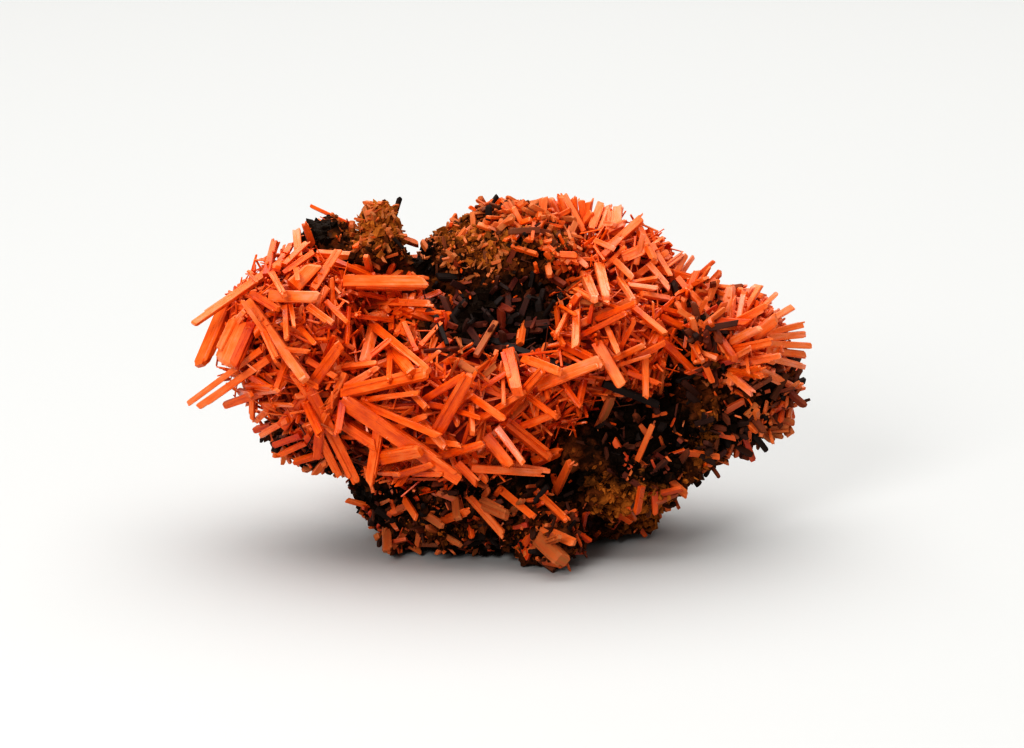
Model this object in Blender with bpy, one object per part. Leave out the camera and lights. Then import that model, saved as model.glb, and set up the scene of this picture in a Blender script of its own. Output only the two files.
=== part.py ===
"""Crocoite specimen: a jackstraw of orange prisms grown together over a dark gossan matrix.

The object rests on the flat broken underside of its matrix. +X is to the right of its best side, -Y is towards the
viewer, +Z is up, and the origin is the middle of the bounding box at the surface that it rests on.

Crystals of the best side are given on a ruler held up in front of the specimen: millimetres across from its middle
and up from its lowest tip, as an eye sees them from a little above. Each root sinks into the rounded masses below,
and each tip stands off their skin towards that eye. The other sides are covered by a seeded rule.
"""

import itertools
import math
from collections import namedtuple

import bmesh
import bpy
import numpy as np
from mathutils import Matrix, Vector, noise

# Driving sizes: lengths in this file are millimetres until the finished meshes are scaled to metres
METRES_PER_MM = 0.001
GAP = 1.05
ROOT_DEPTH = 1.2
MOST_RISE = 6.0
MATRIX_VOXEL = 1.1
MATRIX_TRIANGLES = 2100
SWOLLEN_TRIANGLES = 1500
MATRIX_ROUGHNESS = 1.5
CORE_ROUGHNESS = 0.9
BALL_TURN = 0.37
SCATTER_TRIES = 2000
NEIGHBOUR_ROOM = 2.6

# Where the middle of the bounding box lies in the frame of the masses
MIDDLE_X = 0.215
MIDDLE_Y = 1.673

# The eye that the ruler is read from
EYE_TILT = math.radians(15)
EYE_DISTANCE = 600.0
EYE_TARGET = np.array([1.8, 0.0, 26.7])
TARGET_ON_RULER = (1.8, 31.5)
RIGHT = np.array([1.0, 0.0, 0.0])
UPWARD = np.array([0.0, math.sin(EYE_TILT), math.cos(EYE_TILT)])
TOWARDS = np.array([0.0, -math.cos(EYE_TILT), math.sin(EYE_TILT)])
EYE = EYE_TARGET + EYE_DISTANCE * TOWARDS

# Rounded masses: centre x, y, z and radii x, y, z
Mass = namedtuple("Mass", "x y z rx ry rz")

JACKSTRAW_MASSES = (
    Mass(-32, -1, 33, 13, 15, 14),
    Mass(-26, -6, 25, 11, 12, 10),
    Mass(-9, -9, 22, 19, 11.5, 13.5),
    Mass(6, -11, 27, 9, 7, 8),
    Mass(17, -4, 32.5, 12, 11, 11),
    Mass(19, 8, 40, 11, 11, 10),
)
RIGHT_SPRAY_MASSES = (Mass(38.6, 1, 31, 7, 9.5, 9.5),)
REAR_MASSES = (Mass(-9, 16, 25, 15, 8, 11),)
MATRIX_MASSES = (
    Mass(-1, 3, 25, 25, 14, 17),
    Mass(1, 8, 41.5, 13, 11, 10.5),
    Mass(-14, 8, 39, 9, 8, 8.5),
    Mass(-19.5, 4, 46.5, 4.4, 4.4, 5.0),
    Mass(-20.2, 4, 50.8, 3.6, 3.4, 3.4),
    Mass(-28.5, 8, 44.5, 5, 5, 5),
    Mass(-3, -2, 9, 21, 15, 11),
    Mass(-17.5, -9.5, 4, 3.2, 3.6, 5),
    Mass(8, -15, 4.5, 5, 6, 6),
    Mass(-26, 0, 19, 11, 11, 6.5),
    Mass(17, 2, 7, 10, 12, 9),
    Mass(19, -4, 15, 14, 13, 9),
    Mass(31, 1, 21, 13, 11, 7),
    Mass(42, 3, 25, 6, 8, 5.5),
    Mass(32.5, 0, 33, 4.5, 8.5, 8.5),
    Mass(16, 8, 28, 20, 13, 14),
)
HOLLOWS = (
    Mass(23, -15, 20.5, 8, 6, 4.5),
    Mass(-2, -10, 41, 7, 7, 4),
)

# Crystals of the best side: root across and up, tip across and up, width, and how far the tip stands off the skin
Lath = namedtuple("Lath", "root_across root_up tip_across tip_up width lift")

LEFT_LATHS = (
    Lath(-32.5, 50.5, -32.8, 54.6, 1.4, 0.5),
    Lath(-37.9, 47.5, -36.3, 52.7, 1.3, 0.5),
    Lath(-35.2, 49.7, -49.0, 39.4, 1.5, 1.0),
    Lath(-35.0, 47.9, -29.8, 51.2, 1.1, 1.5),
    Lath(-36.9, 47.8, -34.5, 44.0, 1.3, 1.5),
    Lath(-30.2, 45.2, -25.8, 51.2, 1.3, 1.5),
    Lath(-29.2, 52.6, -21.0, 50.3, 1.4, 1.0),
    Lath(-46.0, 43.5, -47.8, 33.0, 2.0, 1.0),
    Lath(-41.5, 39.8, -44.0, 33.0, 4.2, 1.6),
    Lath(-38.5, 35.5, -50.1, 26.8, 1.3, 1.2),
    Lath(-37.0, 33.2, -47.5, 26.0, 1.2, 1.0),
    Lath(-40.7, 43.3, -31.1, 30.5, 1.7, 2.2),
    Lath(-37.0, 44.0, -28.9, 43.7, 1.9, 2.0),
    Lath(-39.9, 44.5, -35.5, 41.8, 1.3, 1.4),
    Lath(-34.7, 42.5, -34.2, 37.0, 1.3, 1.4),
    Lath(-30.8, 42.5, -26.6, 39.5, 1.4, 1.6),
    Lath(-35.2, 23.0, -25.6, 36.0, 1.9, 2.4),
    Lath(-34.6, 33.5, -36.0, 28.5, 1.2, 1.4),
    Lath(-41.2, 31.5, -35.2, 28.4, 1.2, 1.2),
    Lath(-43.8, 26.4, -35.5, 28.9, 1.2, 0.8),
    Lath(-40.0, 30.0, -39.9, 23.6, 1.2, 0.8),
    Lath(-34.5, 24.0, -38.6, 21.6, 1.2, 0.6),
    Lath(-31.3, 21.5, -36.6, 19.8, 1.2, 0.5),
    Lath(-29.0, 18.4, -33.4, 17.0, 1.2, 0.5),
    Lath(-29.0, 23.5, -29.4, 17.8, 1.5, 1.0),
    Lath(-30.6, 29.0, -22.8, 14.2, 1.7, 2.2),
    Lath(-29.8, 22.0, -25.6, 14.6, 1.3, 1.2),
    Lath(-19.5, 24.5, -20.9, 13.6, 1.7, 1.2),
    Lath(-25.5, 27.0, -26.3, 21.5, 1.3, 1.2),
)
FRONT_LATHS = (
    Lath(-21.8, 50.2, -18.2, 46.6, 1.4, 1.0),
    Lath(-18.5, 51.0, -17.8, 46.5, 1.4, 1.0),
    Lath(-25.3, 46.4, -12.1, 46.2, 2.0, 1.5),
    Lath(-27.0, 50.0, -20.5, 47.0, 1.3, 1.5),
    Lath(-17.3, 44.6, -11.3, 42.8, 1.4, 1.5),
    Lath(-26.2, 41.3, -17.4, 40.0, 1.2, 1.2),
    Lath(-18.2, 43.0, -9.5, 41.2, 1.2, 1.2),
    Lath(-20.5, 39.6, -11.5, 32.0, 1.5, 2.2),
    Lath(-25.5, 28.3, -11.7, 31.4, 1.8, 2.4),
    Lath(-24.0, 31.8, -17.4, 37.2, 1.2, 1.8),
    Lath(-25.3, 32.7, -19.5, 33.2, 1.2, 1.4),
    Lath(-18.2, 36.5, -14.3, 31.5, 2.0, 1.0),
    Lath(-20.2, 39.0, -21.8, 33.0, 1.7, 1.2),
    Lath(-22.0, 27.3, -13.0, 28.5, 1.2, 1.4),
    Lath(-12.6, 27.0, -5.6, 31.4, 1.3, 2.0),
    Lath(-10.2, 22.0, -4.8, 31.5, 2.0, 2.4),
    Lath(-5.8, 28.8, 0.8, 24.2, 1.2, 1.4),
    Lath(-25.5, 27.2, -6.6, 14.6, 2.4, 3.0),
    Lath(-22.5, 26.8, -9.8, 21.6, 1.4, 2.0),
    Lath(-19.2, 18.0, -12.6, 19.2, 2.2, 1.5),
    Lath(-17.5, 14.8, -11.0, 17.0, 1.3, 1.4),
    Lath(-9.8, 18.2, -3.0, 20.4, 1.4, 2.0),
    Lath(-4.8, 26.2, -4.5, 21.5, 1.3, 1.4),
    Lath(0.4, 25.0, 6.8, 32.2, 1.5, 1.8),
    Lath(0.6, 23.9, 7.9, 18.0, 1.8, 2.2),
    Lath(-2.4, 21.6, 1.8, 16.6, 1.9, 1.4),
    Lath(3.0, 22.9, 9.0, 25.2, 1.3, 1.5),
    Lath(4.0, 28.2, 9.0, 24.6, 1.2, 1.5),
    Lath(-4.8, 16.3, 6.9, 15.8, 1.6, 2.0),
    Lath(5.3, 17.0, 9.6, 19.2, 1.7, 1.2),
    Lath(1.2, 35.2, 2.6, 28.4, 2.2, 0.8),
    Lath(-2.4, 37.0, 4.6, 38.0, 1.2, 0.8),
    Lath(-3.9, 34.4, -0.6, 40.0, 1.2, 0.8),
)
CENTRE_RIGHT_LATHS = (
    Lath(3.5, 34.1, 9.5, 31.8, 1.6, 1.8),
    Lath(6.0, 29.7, 16.2, 33.6, 2.2, 2.6),
    Lath(9.6, 36.3, 15.2, 33.4, 1.4, 1.5),
    Lath(15.4, 36.5, 19.4, 29.4, 1.9, 1.8),
    Lath(12.2, 41.7, 12.0, 35.8, 1.3, 1.3),
    Lath(10.5, 41.2, 8.6, 36.6, 1.2, 1.0),
    Lath(12.6, 37.6, 20.1, 41.2, 1.2, 1.8),
    Lath(15.5, 40.5, 21.7, 42.9, 1.2, 1.6),
    Lath(17.1, 39.2, 18.8, 34.4, 1.2, 1.5),
    Lath(18.9, 34.8, 21.5, 40.2, 1.2, 1.6),
    Lath(17.8, 33.6, 24.0, 35.4, 1.2, 1.4),
    Lath(23.4, 34.4, 23.2, 27.6, 1.3, 1.0),
    Lath(21.0, 42.4, 26.3, 37.8, 1.3, 1.2),
    Lath(25.6, 37.4, 29.6, 33.2, 1.4, 0.8),
    Lath(16.4, 29.9, 25.0, 26.6, 1.4, 1.0),
    Lath(12.4, 47.8, 15.0, 43.2, 1.5, 1.2),
    Lath(15.6, 49.2, 17.0, 43.2, 1.5, 1.4),
    Lath(19.2, 47.2, 21.2, 43.2, 1.3, 1.2),
    Lath(20.3, 46.2, 25.4, 46.9, 1.2, 1.2),
    Lath(24.5, 42.8, 29.8, 40.8, 1.3, 0.8),
    Lath(17.9, 27.8, 13.0, 17.2, 1.4, 1.6),
)
TOP_LATHS = (
    Lath(13.2, 54.6, 10.2, 60.3, 1.2, 0.3),
    Lath(12.6, 56.4, 17.9, 58.4, 1.4, 0.4),
    Lath(11.4, 53.6, 14.7, 57.6, 1.4, 0.8),
    Lath(18.4, 54.2, 18.8, 58.4, 2.0, 0.2),
    Lath(17.4, 51.8, 22.5, 56.4, 1.4, 0.8),
    Lath(22.0, 55.2, 24.6, 49.6, 1.6, 0.8),
    Lath(21.6, 49.0, 22.7, 54.0, 1.3, 1.0),
    Lath(15.2, 53.2, 18.4, 51.2, 1.2, 1.0),
    Lath(25.0, 48.2, 31.4, 46.4, 1.3, 0.4),
    Lath(25.6, 48.2, 29.3, 51.0, 1.2, 0.2),
    Lath(27.0, 45.6, 32.5, 48.0, 1.3, 0.2),
)
RIGHT_SPRAY_LATHS = (
    Lath(36.4, 39.0, 36.7, 45.6, 1.8, 0.4),
    Lath(38.0, 39.6, 41.8, 45.8, 1.3, 0.2),
    Lath(36.9, 39.4, 42.6, 42.6, 1.4, 1.2),
    Lath(37.0, 36.4, 41.4, 38.8, 1.3, 1.6),
    Lath(36.8, 35.3, 43.4, 36.6, 1.5, 1.8),
    Lath(40.6, 37.2, 44.2, 40.6, 1.8, 1.2),
    Lath(42.0, 38.0, 47.6, 40.6, 1.3, 0.2),
    Lath(42.4, 36.4, 49.4, 36.6, 1.4, 0.2),
    Lath(41.8, 33.6, 48.2, 31.2, 1.5, 0.3),
    Lath(36.8, 31.0, 42.0, 32.6, 1.3, 1.6),
    Lath(36.6, 31.9, 41.8, 30.6, 1.2, 1.2),
    Lath(36.5, 31.5, 40.2, 28.0, 1.3, 1.0),
    Lath(42.6, 30.6, 47.4, 28.4, 1.4, 0.4),
    Lath(37.4, 27.4, 40.6, 23.6, 1.7, 0.4),
)
SINGLE_LATHS = (
    Lath(9.0, 12.0, 11.0, 17.4, 1.5, 3.4),
    Lath(22.2, 17.6, 24.2, 23.4, 1.3, 3.2),
    Lath(5.5, 13.0, 10.5, 8.1, 1.2, 3.6),
    Lath(-0.5, 13.6, 5.4, 8.8, 1.3, 3.6),
    Lath(-5.5, 12.4, 0.4, 6.0, 1.4, 3.6),
    Lath(4.5, 7.6, 11.8, 4.6, 2.0, 3.0),
    Lath(-16.8, 12.6, -13.4, 8.6, 1.4, 3.2),
    Lath(-9.6, 7.4, -5.2, 9.6, 1.4, 3.0),
    Lath(43.6, 24.2, 43.4, 20.4, 1.2, 2.8),
    Lath(30.6, 19.0, 34.8, 18.2, 1.3, 3.0),
    Lath(26.4, 15.0, 29.6, 12.2, 1.4, 2.8),
    Lath(-30.6, 53.0, -31.4, 57.2, 1.3, 1.4),
    Lath(3.2, 56.6, 0.4, 60.2, 1.3, 1.2),
    Lath(7.0, 54.4, 7.0, 59.6, 1.4, 1.2),
)

# Finish of each kind of piece: colour, roughness and metallic value
CROCOITE_FINISH = ((0.63, 0.11, 0.02, 1.0), 0.3, 0.0)
GOSSAN_FINISH = ((0.10, 0.042, 0.016, 1.0), 0.85, 0.0)


def unit(vectors):
    """Vectors at length one along their last axis."""
    vectors = np.asarray(vectors, dtype=float)
    return vectors / np.linalg.norm(vectors, axis=-1, keepdims=True)


def distance_to(masses, points):
    """Rough distance in millimetres from points to the skin of joined masses, less than zero inside."""
    nearest = np.full(points.shape[:-1], np.inf)
    for mass in masses:
        centre = np.array([mass.x, mass.y, mass.z])
        radii = np.array([mass.rx, mass.ry, mass.rz])
        ratio = np.linalg.norm((points - centre) / radii, axis=-1)
        slope = np.linalg.norm((points - centre) / radii ** 2, axis=-1) + 1e-9
        nearest = np.minimum(nearest, ratio * (ratio - 1) / slope)
    return nearest


def skin_normal(masses, point):
    """Direction straight out of joined masses at a point, by small steps each way."""
    step = 0.05
    offsets = np.eye(3) * step
    rise = distance_to(masses, point + offsets) - distance_to(masses, point - offsets)
    return unit(rise)


def on_skin(masses, across, up):
    """First point of the masses on the eye's line through a ruler reading, or the nearest that the line passes."""
    reading = EYE_TARGET + (across - TARGET_ON_RULER[0]) * RIGHT + (up - TARGET_ON_RULER[1]) * UPWARD
    line = unit(reading - EYE)
    travel = EYE_DISTANCE + np.arange(-45.0, 45.0, 0.25)
    points = EYE + travel[:, None] * line
    distances = distance_to(masses, points)
    inside = np.flatnonzero(distances < 0)
    return points[inside[0]] if len(inside) else points[np.argmin(distances)]


def sink(masses, point, depth):
    """Move a point along the slope of the masses until it lies at a depth under their skin."""
    for _ in range(4):
        excess = distance_to(masses, point) + depth
        point = point - excess * skin_normal(masses, point)
    return point


def prism(root, tip, width, roll, slant):
    """Four-sided crystal from root to tip, with a face turned to the eye by roll and an end broken on the slant."""
    axis = unit(tip - root)
    side = np.cross(axis, TOWARDS)
    if np.linalg.norm(side) < 0.2:
        side = np.cross(axis, RIGHT)
    side = unit(side)
    front = np.cross(side, axis)
    across = math.cos(roll) * side + math.sin(roll) * front
    through = math.cos(roll) * front - math.sin(roll) * side
    corners = ((-0.5, -0.42), (0.5, -0.42), (0.5, 0.42), (-0.5, 0.42))
    shell = bmesh.new()
    rings = []
    for end, lean in ((root, 0.0), (tip, slant)):
        ring = []
        for a, t in corners:
            point = end + width * (a * across + t * through + lean * (a + 0.6 * t) * axis)
            ring.append(shell.verts.new(point))
        rings.append(ring)
    low, high = rings
    for index in range(4):
        following = (index + 1) % 4
        shell.faces.new((low[index], low[following], high[following], high[index]))
    shell.faces.new(tuple(reversed(low)))
    shell.faces.new(tuple(high))
    return finished(shell, "prism")


def turn_doubled_diagonals(shell):
    """Turn each flat diagonal that fell on another edge, so that every edge joins just two faces."""
    for edge in [edge for edge in shell.edges if len(edge.link_faces) > 2]:
        start, end = edge.verts
        for first, second in itertools.combinations(list(edge.link_faces), 2):
            if first.normal.dot(second.normal) < 0.9999:
                continue
            corners = list(first.verts)
            if corners[(corners.index(start) + 1) % 3] != end:
                start, end = end, start
            apex = next(vertex for vertex in first.verts if vertex not in edge.verts)
            opposite = next(vertex for vertex in second.verts if vertex not in edge.verts)
            bmesh.ops.delete(shell, geom=[first, second], context="FACES_ONLY")
            shell.faces.new((start, opposite, apex))
            shell.faces.new((opposite, end, apex))
            break


def finished(shell, name):
    """Turn an edited shell into a mesh of triangles that face outwards."""
    bmesh.ops.recalc_face_normals(shell, faces=shell.faces)
    bmesh.ops.triangulate(shell, faces=shell.faces)
    turn_doubled_diagonals(shell)
    mesh = bpy.data.meshes.new(name)
    shell.to_mesh(mesh)
    shell.free()
    return mesh


def rounded_masses(masses, detail, grow=0.0, roughness=0.0):
    """One mesh of overlapping lumpy balls, one for each mass."""
    shell = bmesh.new()
    for mass in masses:
        turn = Matrix.Rotation(BALL_TURN * mass.x, 4, (1, 2, 3))
        ball = bmesh.ops.create_icosphere(shell, subdivisions=detail, radius=1.0, matrix=turn)["verts"]
        for vertex in ball:
            outward = vertex.co.copy()
            place = Vector((outward.x * mass.rx, outward.y * mass.ry, outward.z * mass.rz))
            place += Vector((mass.x, mass.y, mass.z))
            swell = grow + roughness * noise.noise(place * 0.22)
            vertex.co = place + swell * outward
    return finished(shell, "lumps")


def evaluated(mesh, modifiers):
    """Mesh left by a list of modifiers, each given as its type and its settings."""
    holder = bpy.data.objects.new("holder", mesh)
    bpy.context.scene.collection.objects.link(holder)
    for kind, settings in modifiers:
        modifier = holder.modifiers.new(kind.title(), kind)
        for setting, value in settings.items():
            setattr(modifier, setting, value)
    graph = bpy.context.evaluated_depsgraph_get()
    result = bpy.data.meshes.new_from_object(holder.evaluated_get(graph))
    bpy.data.objects.remove(holder)
    return result


def combined(mesh, others, operation, solver="EXACT"):
    """Boolean of one mesh with several others."""
    tools = bpy.data.collections.new("tools")
    bpy.context.scene.collection.children.link(tools)
    for other in others:
        tools.objects.link(bpy.data.objects.new("tool", other))
    settings = {"operand_type": "COLLECTION", "collection": tools, "operation": operation, "solver": solver}
    result = evaluated(mesh, [("BOOLEAN", settings)])
    for tool in list(tools.objects):
        bpy.data.objects.remove(tool)
    bpy.data.collections.remove(tools)
    return result


def largest_body(mesh, name):
    """Keep the largest joined body of a mesh, with stray slivers of a cut left out."""
    shell = bmesh.new()
    shell.from_mesh(mesh)
    unseen = set(shell.faces)
    bodies = []
    while unseen:
        body = {unseen.pop()}
        edge_of_body = list(body)
        while edge_of_body:
            face = edge_of_body.pop()
            for edge in face.edges:
                for neighbour in edge.link_faces:
                    if neighbour in unseen:
                        unseen.remove(neighbour)
                        body.add(neighbour)
                        edge_of_body.append(neighbour)
        bodies.append(body)
    bodies.sort(key=lambda body: sum(face.calc_area() for face in body), reverse=True)
    strays = [face for body in bodies[1:] for face in body]
    bmesh.ops.delete(shell, geom=strays, context="FACES")
    loose = [vertex for vertex in shell.verts if not vertex.link_faces]
    bmesh.ops.delete(shell, geom=loose, context="VERTS")
    return finished(shell, name)


def matrix_mesh():
    """Gossan: rounded masses melted into one crumbly lump, hollowed, thinned out and cut flat to rest on."""
    melted = ("REMESH", {"mode": "VOXEL", "voxel_size": MATRIX_VOXEL})
    lump = evaluated(rounded_masses(MATRIX_MASSES, detail=3), [melted])
    hollowed = combined(lump, [rounded_masses([hollow], 2) for hollow in HOLLOWS], "DIFFERENCE")
    crumbly = evaluated(hollowed, [melted])
    for vertex in crumbly.vertices:
        coarse = noise.noise(vertex.co * 0.16)
        fine = noise.noise(vertex.co * 0.45)
        vertex.co += vertex.normal * MATRIX_ROUGHNESS * (coarse + 0.6 * fine)
    thinned = with_triangles(crumbly, MATRIX_TRIANGLES)
    return largest_body(combined(thinned, [ground()], "DIFFERENCE"), "gossan_matrix")


def with_triangles(mesh, count):
    """The same surface thinned out to about a number of triangles."""
    faceted = evaluated(mesh, [("TRIANGULATE", {})])
    return evaluated(faceted, [("DECIMATE", {"ratio": count / len(faceted.polygons)})])


def ground():
    """Block under the resting surface, which cuts the underside flat."""
    shell = bmesh.new()
    bmesh.ops.create_cube(shell, size=1.0)
    bmesh.ops.scale(shell, vec=(160, 160, 40), verts=shell.verts)
    bmesh.ops.translate(shell, vec=(0, 0, -20), verts=shell.verts)
    return finished(shell, "ground")


def swollen(mesh):
    """The gossan grown by the gap that its neighbours keep to it."""
    steps = [
        ("REMESH", {"mode": "VOXEL", "voxel_size": 0.8}),
        ("DISPLACE", {"strength": GAP, "mid_level": 0.0}),
        ("REMESH", {"mode": "VOXEL", "voxel_size": 1.0}),
    ]
    return with_triangles(evaluated(mesh, steps), SWOLLEN_TRIANGLES)


def standing_tip(masses, root, tip, lift):
    """Tip raised towards the eye until the crystal climbs out of the curved skin to its lift, and no further."""
    shares = np.array([0.4, 0.6, 0.8, 1.0])
    points = root + shares[:, None] * (tip - root)
    missing = np.max(lift - distance_to(masses, points) / shares)
    return tip + min(max(missing, 0.0), MOST_RISE) * TOWARDS


def read_laths(laths, masses, rng):
    """Prisms of the best side, from their ruler readings."""
    prisms = []
    for lath in laths:
        root = sink(masses, on_skin(masses, lath.root_across, lath.root_up), ROOT_DEPTH)
        tip = standing_tip(masses, root, on_skin(masses, lath.tip_across, lath.tip_up), lath.lift)
        prisms.append(prism(root, tip, lath.width, rng.uniform(-0.6, 0.6), rng.uniform(-0.5, 0.5)))
    return prisms


def scattered_laths(masses, rock, neighbours, spacing, facing, rng):
    """Seeded prisms over the sides that the ruler doesn't cover, leaning out of the skin every way."""
    prisms = []
    roots = []
    for _ in range(SCATTER_TRIES):
        mass = masses[rng.integers(len(masses))]
        outward = unit(rng.normal(size=3))
        point = np.array([mass.x, mass.y, mass.z]) + outward * np.array([mass.rx, mass.ry, mass.rz])
        normal = skin_normal(masses, point)
        lean = unit(np.cross(normal, rng.normal(size=3)))
        rise, length, width = rng.uniform(0.25, 0.7), rng.uniform(5.0, 11.0), rng.uniform(1.4, 2.4)
        roll, slant = rng.uniform(0, math.pi), rng.uniform(-0.5, 0.5)
        root = point - ROOT_DEPTH * normal
        tip = root + length * unit(rise * normal + lean)
        hidden = distance_to(masses, point) < -0.3 or distance_to(rock, point) < 0.8
        crowded = any(np.linalg.norm(point - other) < spacing for other in roots)
        meeting = min(distance_to(neighbours, point), distance_to(neighbours, tip)) < NEIGHBOUR_ROOM
        if hidden or crowded or meeting or normal @ TOWARDS > facing or normal[2] < -0.7:
            continue
        roots.append(point)
        prisms.append(prism(root, tip, width, roll, slant))
    return prisms


def growth(name, masses, neighbours, laths, spacing, facing, seed, rock):
    """Crystals grown into one solid: a lumpy core with its prisms, cut back from the gossan it sits on."""
    rng = np.random.default_rng(seed)
    prisms = read_laths(laths, masses, rng)
    prisms += scattered_laths(masses, MATRIX_MASSES, neighbours, spacing, facing, rng)
    cores = [rounded_masses([mass], 2, roughness=CORE_ROUGHNESS) for mass in masses]
    grown = combined(cores[0], cores[1:] + prisms, "UNION")
    return largest_body(combined(grown, [rock], "DIFFERENCE"), name)


def single(name, lath, seed, rock):
    """One crystal standing on the gossan by itself."""
    rng = np.random.default_rng(seed)
    crystal = read_laths([lath], MATRIX_MASSES, rng)[0]
    return largest_body(combined(crystal, [rock], "DIFFERENCE"), name)


def finish(name, values):
    """Principled material of one finish."""
    material = bpy.data.materials.new(name)
    material.use_nodes = True
    shader = material.node_tree.nodes["Principled BSDF"]
    shader.inputs["Base Color"].default_value = values[0]
    shader.inputs["Roughness"].default_value = values[1]
    shader.inputs["Metallic"].default_value = values[2]
    return material


def place(mesh, name, material):
    """Named object of a finished mesh, moved to the middle of the frame and scaled to metres."""
    for vertex in mesh.vertices:
        vertex.co = (vertex.co - Vector((MIDDLE_X, MIDDLE_Y, 0))) * METRES_PER_MM
    mesh.name = name
    mesh.materials.append(material)
    piece = bpy.data.objects.new(name, mesh)
    bpy.context.scene.collection.objects.link(piece)
    return piece


def main():
    """Build the gossan, the three crystal growths and the crystals that stand alone."""
    for leftover in list(bpy.data.objects):
        bpy.data.objects.remove(leftover)
    crocoite = finish("crocoite", CROCOITE_FINISH)
    gossan = finish("gossan", GOSSAN_FINISH)
    matrix = matrix_mesh()
    rock = swollen(matrix)
    front = LEFT_LATHS + FRONT_LATHS + CENTRE_RIGHT_LATHS + TOP_LATHS
    around = RIGHT_SPRAY_MASSES + REAR_MASSES
    jackstraw = growth("jackstraw", JACKSTRAW_MASSES, around, front, 5.5, 0.1, 11, rock)
    spray = growth("right_spray", RIGHT_SPRAY_MASSES, JACKSTRAW_MASSES, RIGHT_SPRAY_LATHS, 4.5, 0.2, 12, rock)
    rear = growth("rear_cluster", REAR_MASSES, JACKSTRAW_MASSES, (), 4.5, 1.0, 13, rock)
    place(jackstraw, "crocoite_jackstraw", crocoite)
    place(spray, "crocoite_right_spray", crocoite)
    place(rear, "crocoite_rear_cluster", crocoite)
    for number, lath in enumerate(SINGLE_LATHS, start=1):
        name = f"single_crystal_{number:02d}"
        place(single(name, lath, 100 + number, rock), name, crocoite)
    place(matrix, "gossan_matrix", gossan)


main()
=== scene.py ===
"""Crocoite specimen: orange prisms jumbled like straw over brown, black and ochre gossan.

Lengths are millimetres in the frame of the rounded masses until a finished surface is scaled to metres and
moved to the middle of the model's box. Crystals of the best side are given on a ruler held up in front of
the specimen: millimetres across from its middle and up from its lowest tip, as an eye sees them from a
little above.
"""
import logging
import math
from dataclasses import dataclass, field, fields
from enum import Enum

import bpy
import numpy as np
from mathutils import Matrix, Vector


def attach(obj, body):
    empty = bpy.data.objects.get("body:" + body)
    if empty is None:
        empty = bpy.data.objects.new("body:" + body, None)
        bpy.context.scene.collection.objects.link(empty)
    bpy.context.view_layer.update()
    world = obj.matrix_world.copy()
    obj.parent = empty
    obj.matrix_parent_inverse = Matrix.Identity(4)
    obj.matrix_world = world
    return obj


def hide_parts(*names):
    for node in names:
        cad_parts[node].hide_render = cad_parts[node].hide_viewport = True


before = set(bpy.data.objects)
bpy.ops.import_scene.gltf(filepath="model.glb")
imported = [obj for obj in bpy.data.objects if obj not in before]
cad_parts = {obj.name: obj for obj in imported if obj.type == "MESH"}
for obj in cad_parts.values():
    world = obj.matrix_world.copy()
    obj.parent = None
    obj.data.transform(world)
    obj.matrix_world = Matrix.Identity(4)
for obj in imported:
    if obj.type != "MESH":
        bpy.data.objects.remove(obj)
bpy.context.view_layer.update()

LOG = logging.getLogger("crocoite")
Array = np.ndarray
Span = tuple[float, float]
Place = tuple[float, float, float]
Colour = tuple[float, float, float, float]
Link = bpy.types.NodeSocket | float | tuple

MM = 0.001
MIDDLE = np.array([0.215, 1.673, 0.0])
RIGHT = np.array([1.0, 0.0, 0.0])
BODY = "root"


def unit(vectors: Array) -> Array:
    """Vectors along an array's last axis, each divided by its length."""
    vectors = np.asarray(vectors, dtype=float)
    return vectors / np.maximum(np.linalg.norm(vectors, axis=-1, keepdims=True), 1e-9)


def copies(pattern: Array, size: int, count: int) -> Array:
    """Faces of one body of so many points, repeated for a count of bodies that follow one another."""
    return (pattern[None] + size * np.arange(count)[:, None, None]).reshape(-1, 4)


def lying(normal: Array, tilt: float, rng: np.random.Generator, steepest: float = np.inf) -> Array:
    """Random directions along a skin, tilted out of it.

    Args:
        normal: The skin's normals.
        tilt: How far they usually tilt, as a slope.
        rng: Seeded random numbers.
        steepest: The most that they tilt.

    Returns:
        One unit vector for each normal.
    """
    way = rng.normal(size=normal.shape)
    way = unit(way - (way * normal).sum(axis=1, keepdims=True) * normal)
    return unit(way + normal * np.minimum(np.abs(rng.normal(0, tilt, (len(normal), 1))), steepest))


def put(name: str, data: bpy.types.ID) -> bpy.types.Object:
    """Put an object into the scene.

    Args:
        name: Its name.
        data: Its mesh, light or camera.

    Returns:
        The object.
    """
    made = bpy.data.objects.new(name, data)
    bpy.context.scene.collection.objects.link(made)
    return made


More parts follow.
